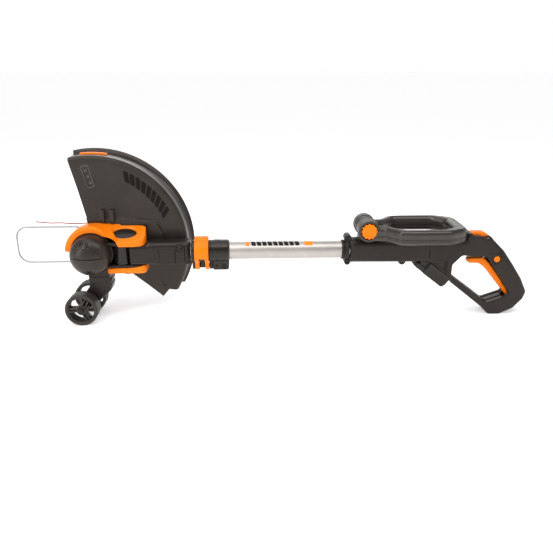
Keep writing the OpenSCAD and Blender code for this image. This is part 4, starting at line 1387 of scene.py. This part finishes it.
def ringed_hub(side):
    """One of the loop's two hubs: three rings round it, and a seat for the bolt."""
    corners = [[4.1, 15, 0.3], [18.0, 15, 0.5], [18.6, 15.6, 0.5]]
    for y in (18, 21.4, 24.8):
        corners += [[18.6, y, 0.3], [18.0, y + 0.5, 0.2], [18.0, y + 1.1, 0.2], [18.6, y + 1.6, 0.3]]
    corners += [[18.6, 30, 1.6], [17.2, 31, 0.8], [14.9, 31, 0.5], [14.4, 30.2, 0.4]]
    if side < 0:
        corners += [[14.2, 25.6, 0.4], [4.1, 25.6, 0.3]]
    else:
        corners += [[9.2, 30.2, 0.4], [9.0, 26.2, 0.3], [4.1, 26.2, 0.3]]
    return turned("hub", [[r, side * y, e] for r, y, e in corners], "y", FOLD, steps=128)


def loop_handle():
    """Folding loop: two arms, a cross bar and a parting groove, on two hubs."""
    outer = both_sides([
        [478, -31, 2], [499, -32, 4], [520, -57, 7], [545, -60, 40], [606, -60, 34], [640, -40, 26]
    ])
    inner = both_sides([
        [478, 15, 0.5], [495, 15, 3], [506, 20, 5], [529, 43.4, 10], [598, 43.4, 18], [619, 24, 14]
    ])
    shape = outline([[*c, 8] for c in outer + inner], step=3)
    wall = [(0, 0.10), (0.2, 0.30), (0.2, 0.58), (1.2, 0.61), (1.2, 0.65), (0.4, 0.68), (0.5, 0.9)]
    loop = slab("loop", [shape], 47, 20.6, 0.8, grid=6, walls=[wall], plane="xy", rings=6)
    whole = joined("loop", loop, ringed_hub(-1), ringed_hub(1))
    stands_for(whole, "front_handle_loop", "loop_handle", GRIP, 40)


def fold_mount():
    """Barrel between the hubs, on a foot that stands on the rear handle."""
    mount = turned("mount", [
        [4.1, -14.6, 0.3], [17, -14.6, 0.5], [17.6, -14, 0.5], [17.6, -6, 0.4], [16.8, -5.4, 0.3],
        [16.8, 5.4, 0.3], [17.6, 6, 0.4], [17.6, 14, 0.5], [17, 14.6, 0.5], [4.1, 14.6, 0.3]
    ], "y", FOLD, steps=128)
    shape = outline([[458, 19, 2], [488, 19, 2], [484, 34, 3], [462, 34, 3]], 1.2)
    foot = slab("foot", [shape], -12, 12, grid=5)
    stands_for(joined("mount", mount, foot), "front_handle_mount", "fold_mount", HOUSING)


def fold_knob():
    """Orange knob with twelve lobes and a ring on its face."""
    lobes = []
    for k in range(144):
        a = 2 * math.pi * k / 144
        r = 12.75 + 0.75 * math.cos(12 * a) - 0.25 * math.cos(24 * a)
        lobes.append([FOLD[0] + r * math.cos(a), FOLD[1] + r * math.sin(a), 1.3])
    knob = slab("knob", [np.array(lobes)], -33, -28.5, 0.3, [groove(circle_line(7.6, FOLD), 1.0, 0.35)], 3)
    stands_for(knob, "front_handle_knob", "fold_knob", ORANGE)


def fold_bolt():
    """Bolt through both hubs: a pin, its hexagonal nut and its tip."""
    corners = [
        (FOLD[0] + 8 * math.cos(math.pi / 3 * k), FOLD[1] + 8 * math.sin(math.pi / 3 * k))
        for k in range(6)
    ]
    nut = slab("nut", [outline([[x, z, 0.5] for x, z in corners], 0.9, 3)], 30.2, 26.3)
    pin = turned("pin", [
        [0, -25.4, 0], [3.6, -25.4, 0.4], [4, -25, 0.3], [4, 27, 0.1], [0, 27, 0]
    ], "y", FOLD, steps=40)
    tip = turned("tip", [[0, 29, 0], [4, 29, 0.1], [4, 31.6, 0.8], [0, 31.6, 0]], "y", FOLD, steps=40)
    stands_for(joined("bolt", nut, pin, tip), "front_handle_bolt", "fold_bolt", ZINC)


def rear_handle():
    """The rear handle with its collar, controls, battery shoe and screws."""
    handle_half(-1, "handle_near", "handle_half_near")
    handle_half(1, "handle_far", "handle_half_far")
    front_collar()
    trigger()
    buttons()
    dock()
    heads = screw_heads("screws", [(x, 16.4, z) for x, z in SCREWS], 2.7, 1.7, "y", 1)
    stands_for(heads, "housing_screws", "housing_screw_set", DARK)


# ---- CAD nodes that stay as they are, with finished materials ----
KEPT = {
    STEEL: ["pivot_pin", "motor_can", "motor_bearings", "motor_shaft", "axle", "trigger_pin", "eyelets"],
    ZINC: ["tilt_spring", "trigger_spring", "thumb_spring", "knob_spring"],
    DARK: ["motor_rotor", "tube_plug", "tube_bush", "power_switch", "lever_pin"],
    BRASS: ["terminal_block"],
}


def paint_kept():
    """Gives the CAD nodes that no piece stands for their materials."""
    for material, names in KEPT.items():
        for name in names:
            obj = frame["nodes"][name]
            obj.data.materials.clear()
            obj.data.materials.append(material)


# ---- Floor, light and camera ----
FLOOR_HALF = 40


def stage():
    """A pale paper floor that runs out to the horizon."""
    points = [(x, y, 0) for x in (-FLOOR_HALF, FLOOR_HALF) for y in (-FLOOR_HALF, FLOOR_HALF)]
    mesh = bpy.data.meshes.new("floor")
    mesh.from_pydata(points, [], [(0, 2, 3, 1)])
    floor = bpy.data.objects.new("floor", mesh)
    bpy.context.scene.collection.objects.link(floor)
    mat, tree, shader, place = new_material("floor_paper")
    tone = mixed(tree, ranged(tree, noise(tree, place, 3, 2), 0, 1), (0.93, 0.93, 0.93), (0.91, 0.91, 0.91))
    tree.links.new(tone, shader.inputs["Base Color"])
    shader.inputs["Roughness"].default_value = 0.9
    shader.inputs["Specular IOR Level"].default_value = 0.1
    shader.inputs["Emission Color"].default_value = (1, 1, 1, 1)
    shader.inputs["Emission Strength"].default_value = 0.4
    mesh.materials.append(mat)


def aimed(name, data, place, target=(0, 0, 0.12)):
    """A light at a place in metres, turned to the target."""
    light = bpy.data.objects.new(name, data)
    light.location = place
    light.rotation_euler = (Vector(target) - Vector(place)).to_track_quat("-Z", "Y").to_euler()
    bpy.context.scene.collection.objects.link(light)


def sun(name, place, strength, spread):
    """A wide soft source far away, so the floor is lit evenly out to the horizon."""
    data = bpy.data.lights.new(name, "SUN")
    data.energy = strength
    data.angle = math.radians(spread)
    aimed(name, data, place)


def softbox(name, place, size, power):
    """A flat white source of the given width and height in metres."""
    data = bpy.data.lights.new(name, "AREA")
    data.shape = "RECTANGLE"
    data.size, data.size_y = size
    data.energy = power
    aimed(name, data, place)


def lights():
    """White studio: bright along the horizon, dimmer overhead, with soft sources from above."""
    world = bpy.data.worlds.new("studio")
    world.use_nodes = True
    tree = world.node_tree
    back = tree.nodes["Background"]
    back.inputs["Color"].default_value = (1, 1, 1, 1)
    way = tree.nodes.new("ShaderNodeTexCoord").outputs["Generated"]
    split = tree.nodes.new("ShaderNodeSeparateXYZ")
    tree.links.new(way, split.inputs[0])
    tree.links.new(ranged(tree, split.outputs["Z"], 1.0, 0.34, 0.12, 0.42), back.inputs["Strength"])
    bpy.context.scene.world = world
    sun("sky_top", (-0.4, 0.5, 2.0), 0.45, 40)
    sun("sky_front", (-1.2, -1.4, 1.5), 0.5, 14)
    softbox("top_box", (0.05, -0.45, 1.2), (2.0, 0.7), 12)
    softbox("back_strip", (0.1, 1.1, 0.75), (2.2, 0.25), 6)
    softbox("left_strip", (-1.1, -0.7, 0.55), (0.3, 0.9), 4)


def camera():
    """The eye stands a little right of the spool and 19.4 degrees up."""
    data = bpy.data.cameras.new("camera")
    data.sensor_width = 36
    data.lens = 39.06
    eye = bpy.data.objects.new("camera", data)
    pitch = math.radians(19.4)
    yaw = math.radians(2.2)
    ahead = Vector((math.sin(yaw) * math.cos(pitch), math.cos(yaw) * math.cos(pitch), -math.sin(pitch)))
    eye.location = (-0.03028, -1.01181, 0.42453)
    eye.rotation_mode = "QUATERNION"
    eye.rotation_quaternion = ahead.to_track_quat("-Z", "Y")
    bpy.context.scene.collection.objects.link(eye)
    bpy.context.scene.camera = eye


cutting_head()
line_parts()
arm()
tubes()
collar()
lever()
rear_handle()
loop_handle()
fold_mount()
fold_knob()
fold_bolt()
paint_kept()
stage()
lights()
camera()
bpy.context.scene.view_settings.view_transform = "Standard"
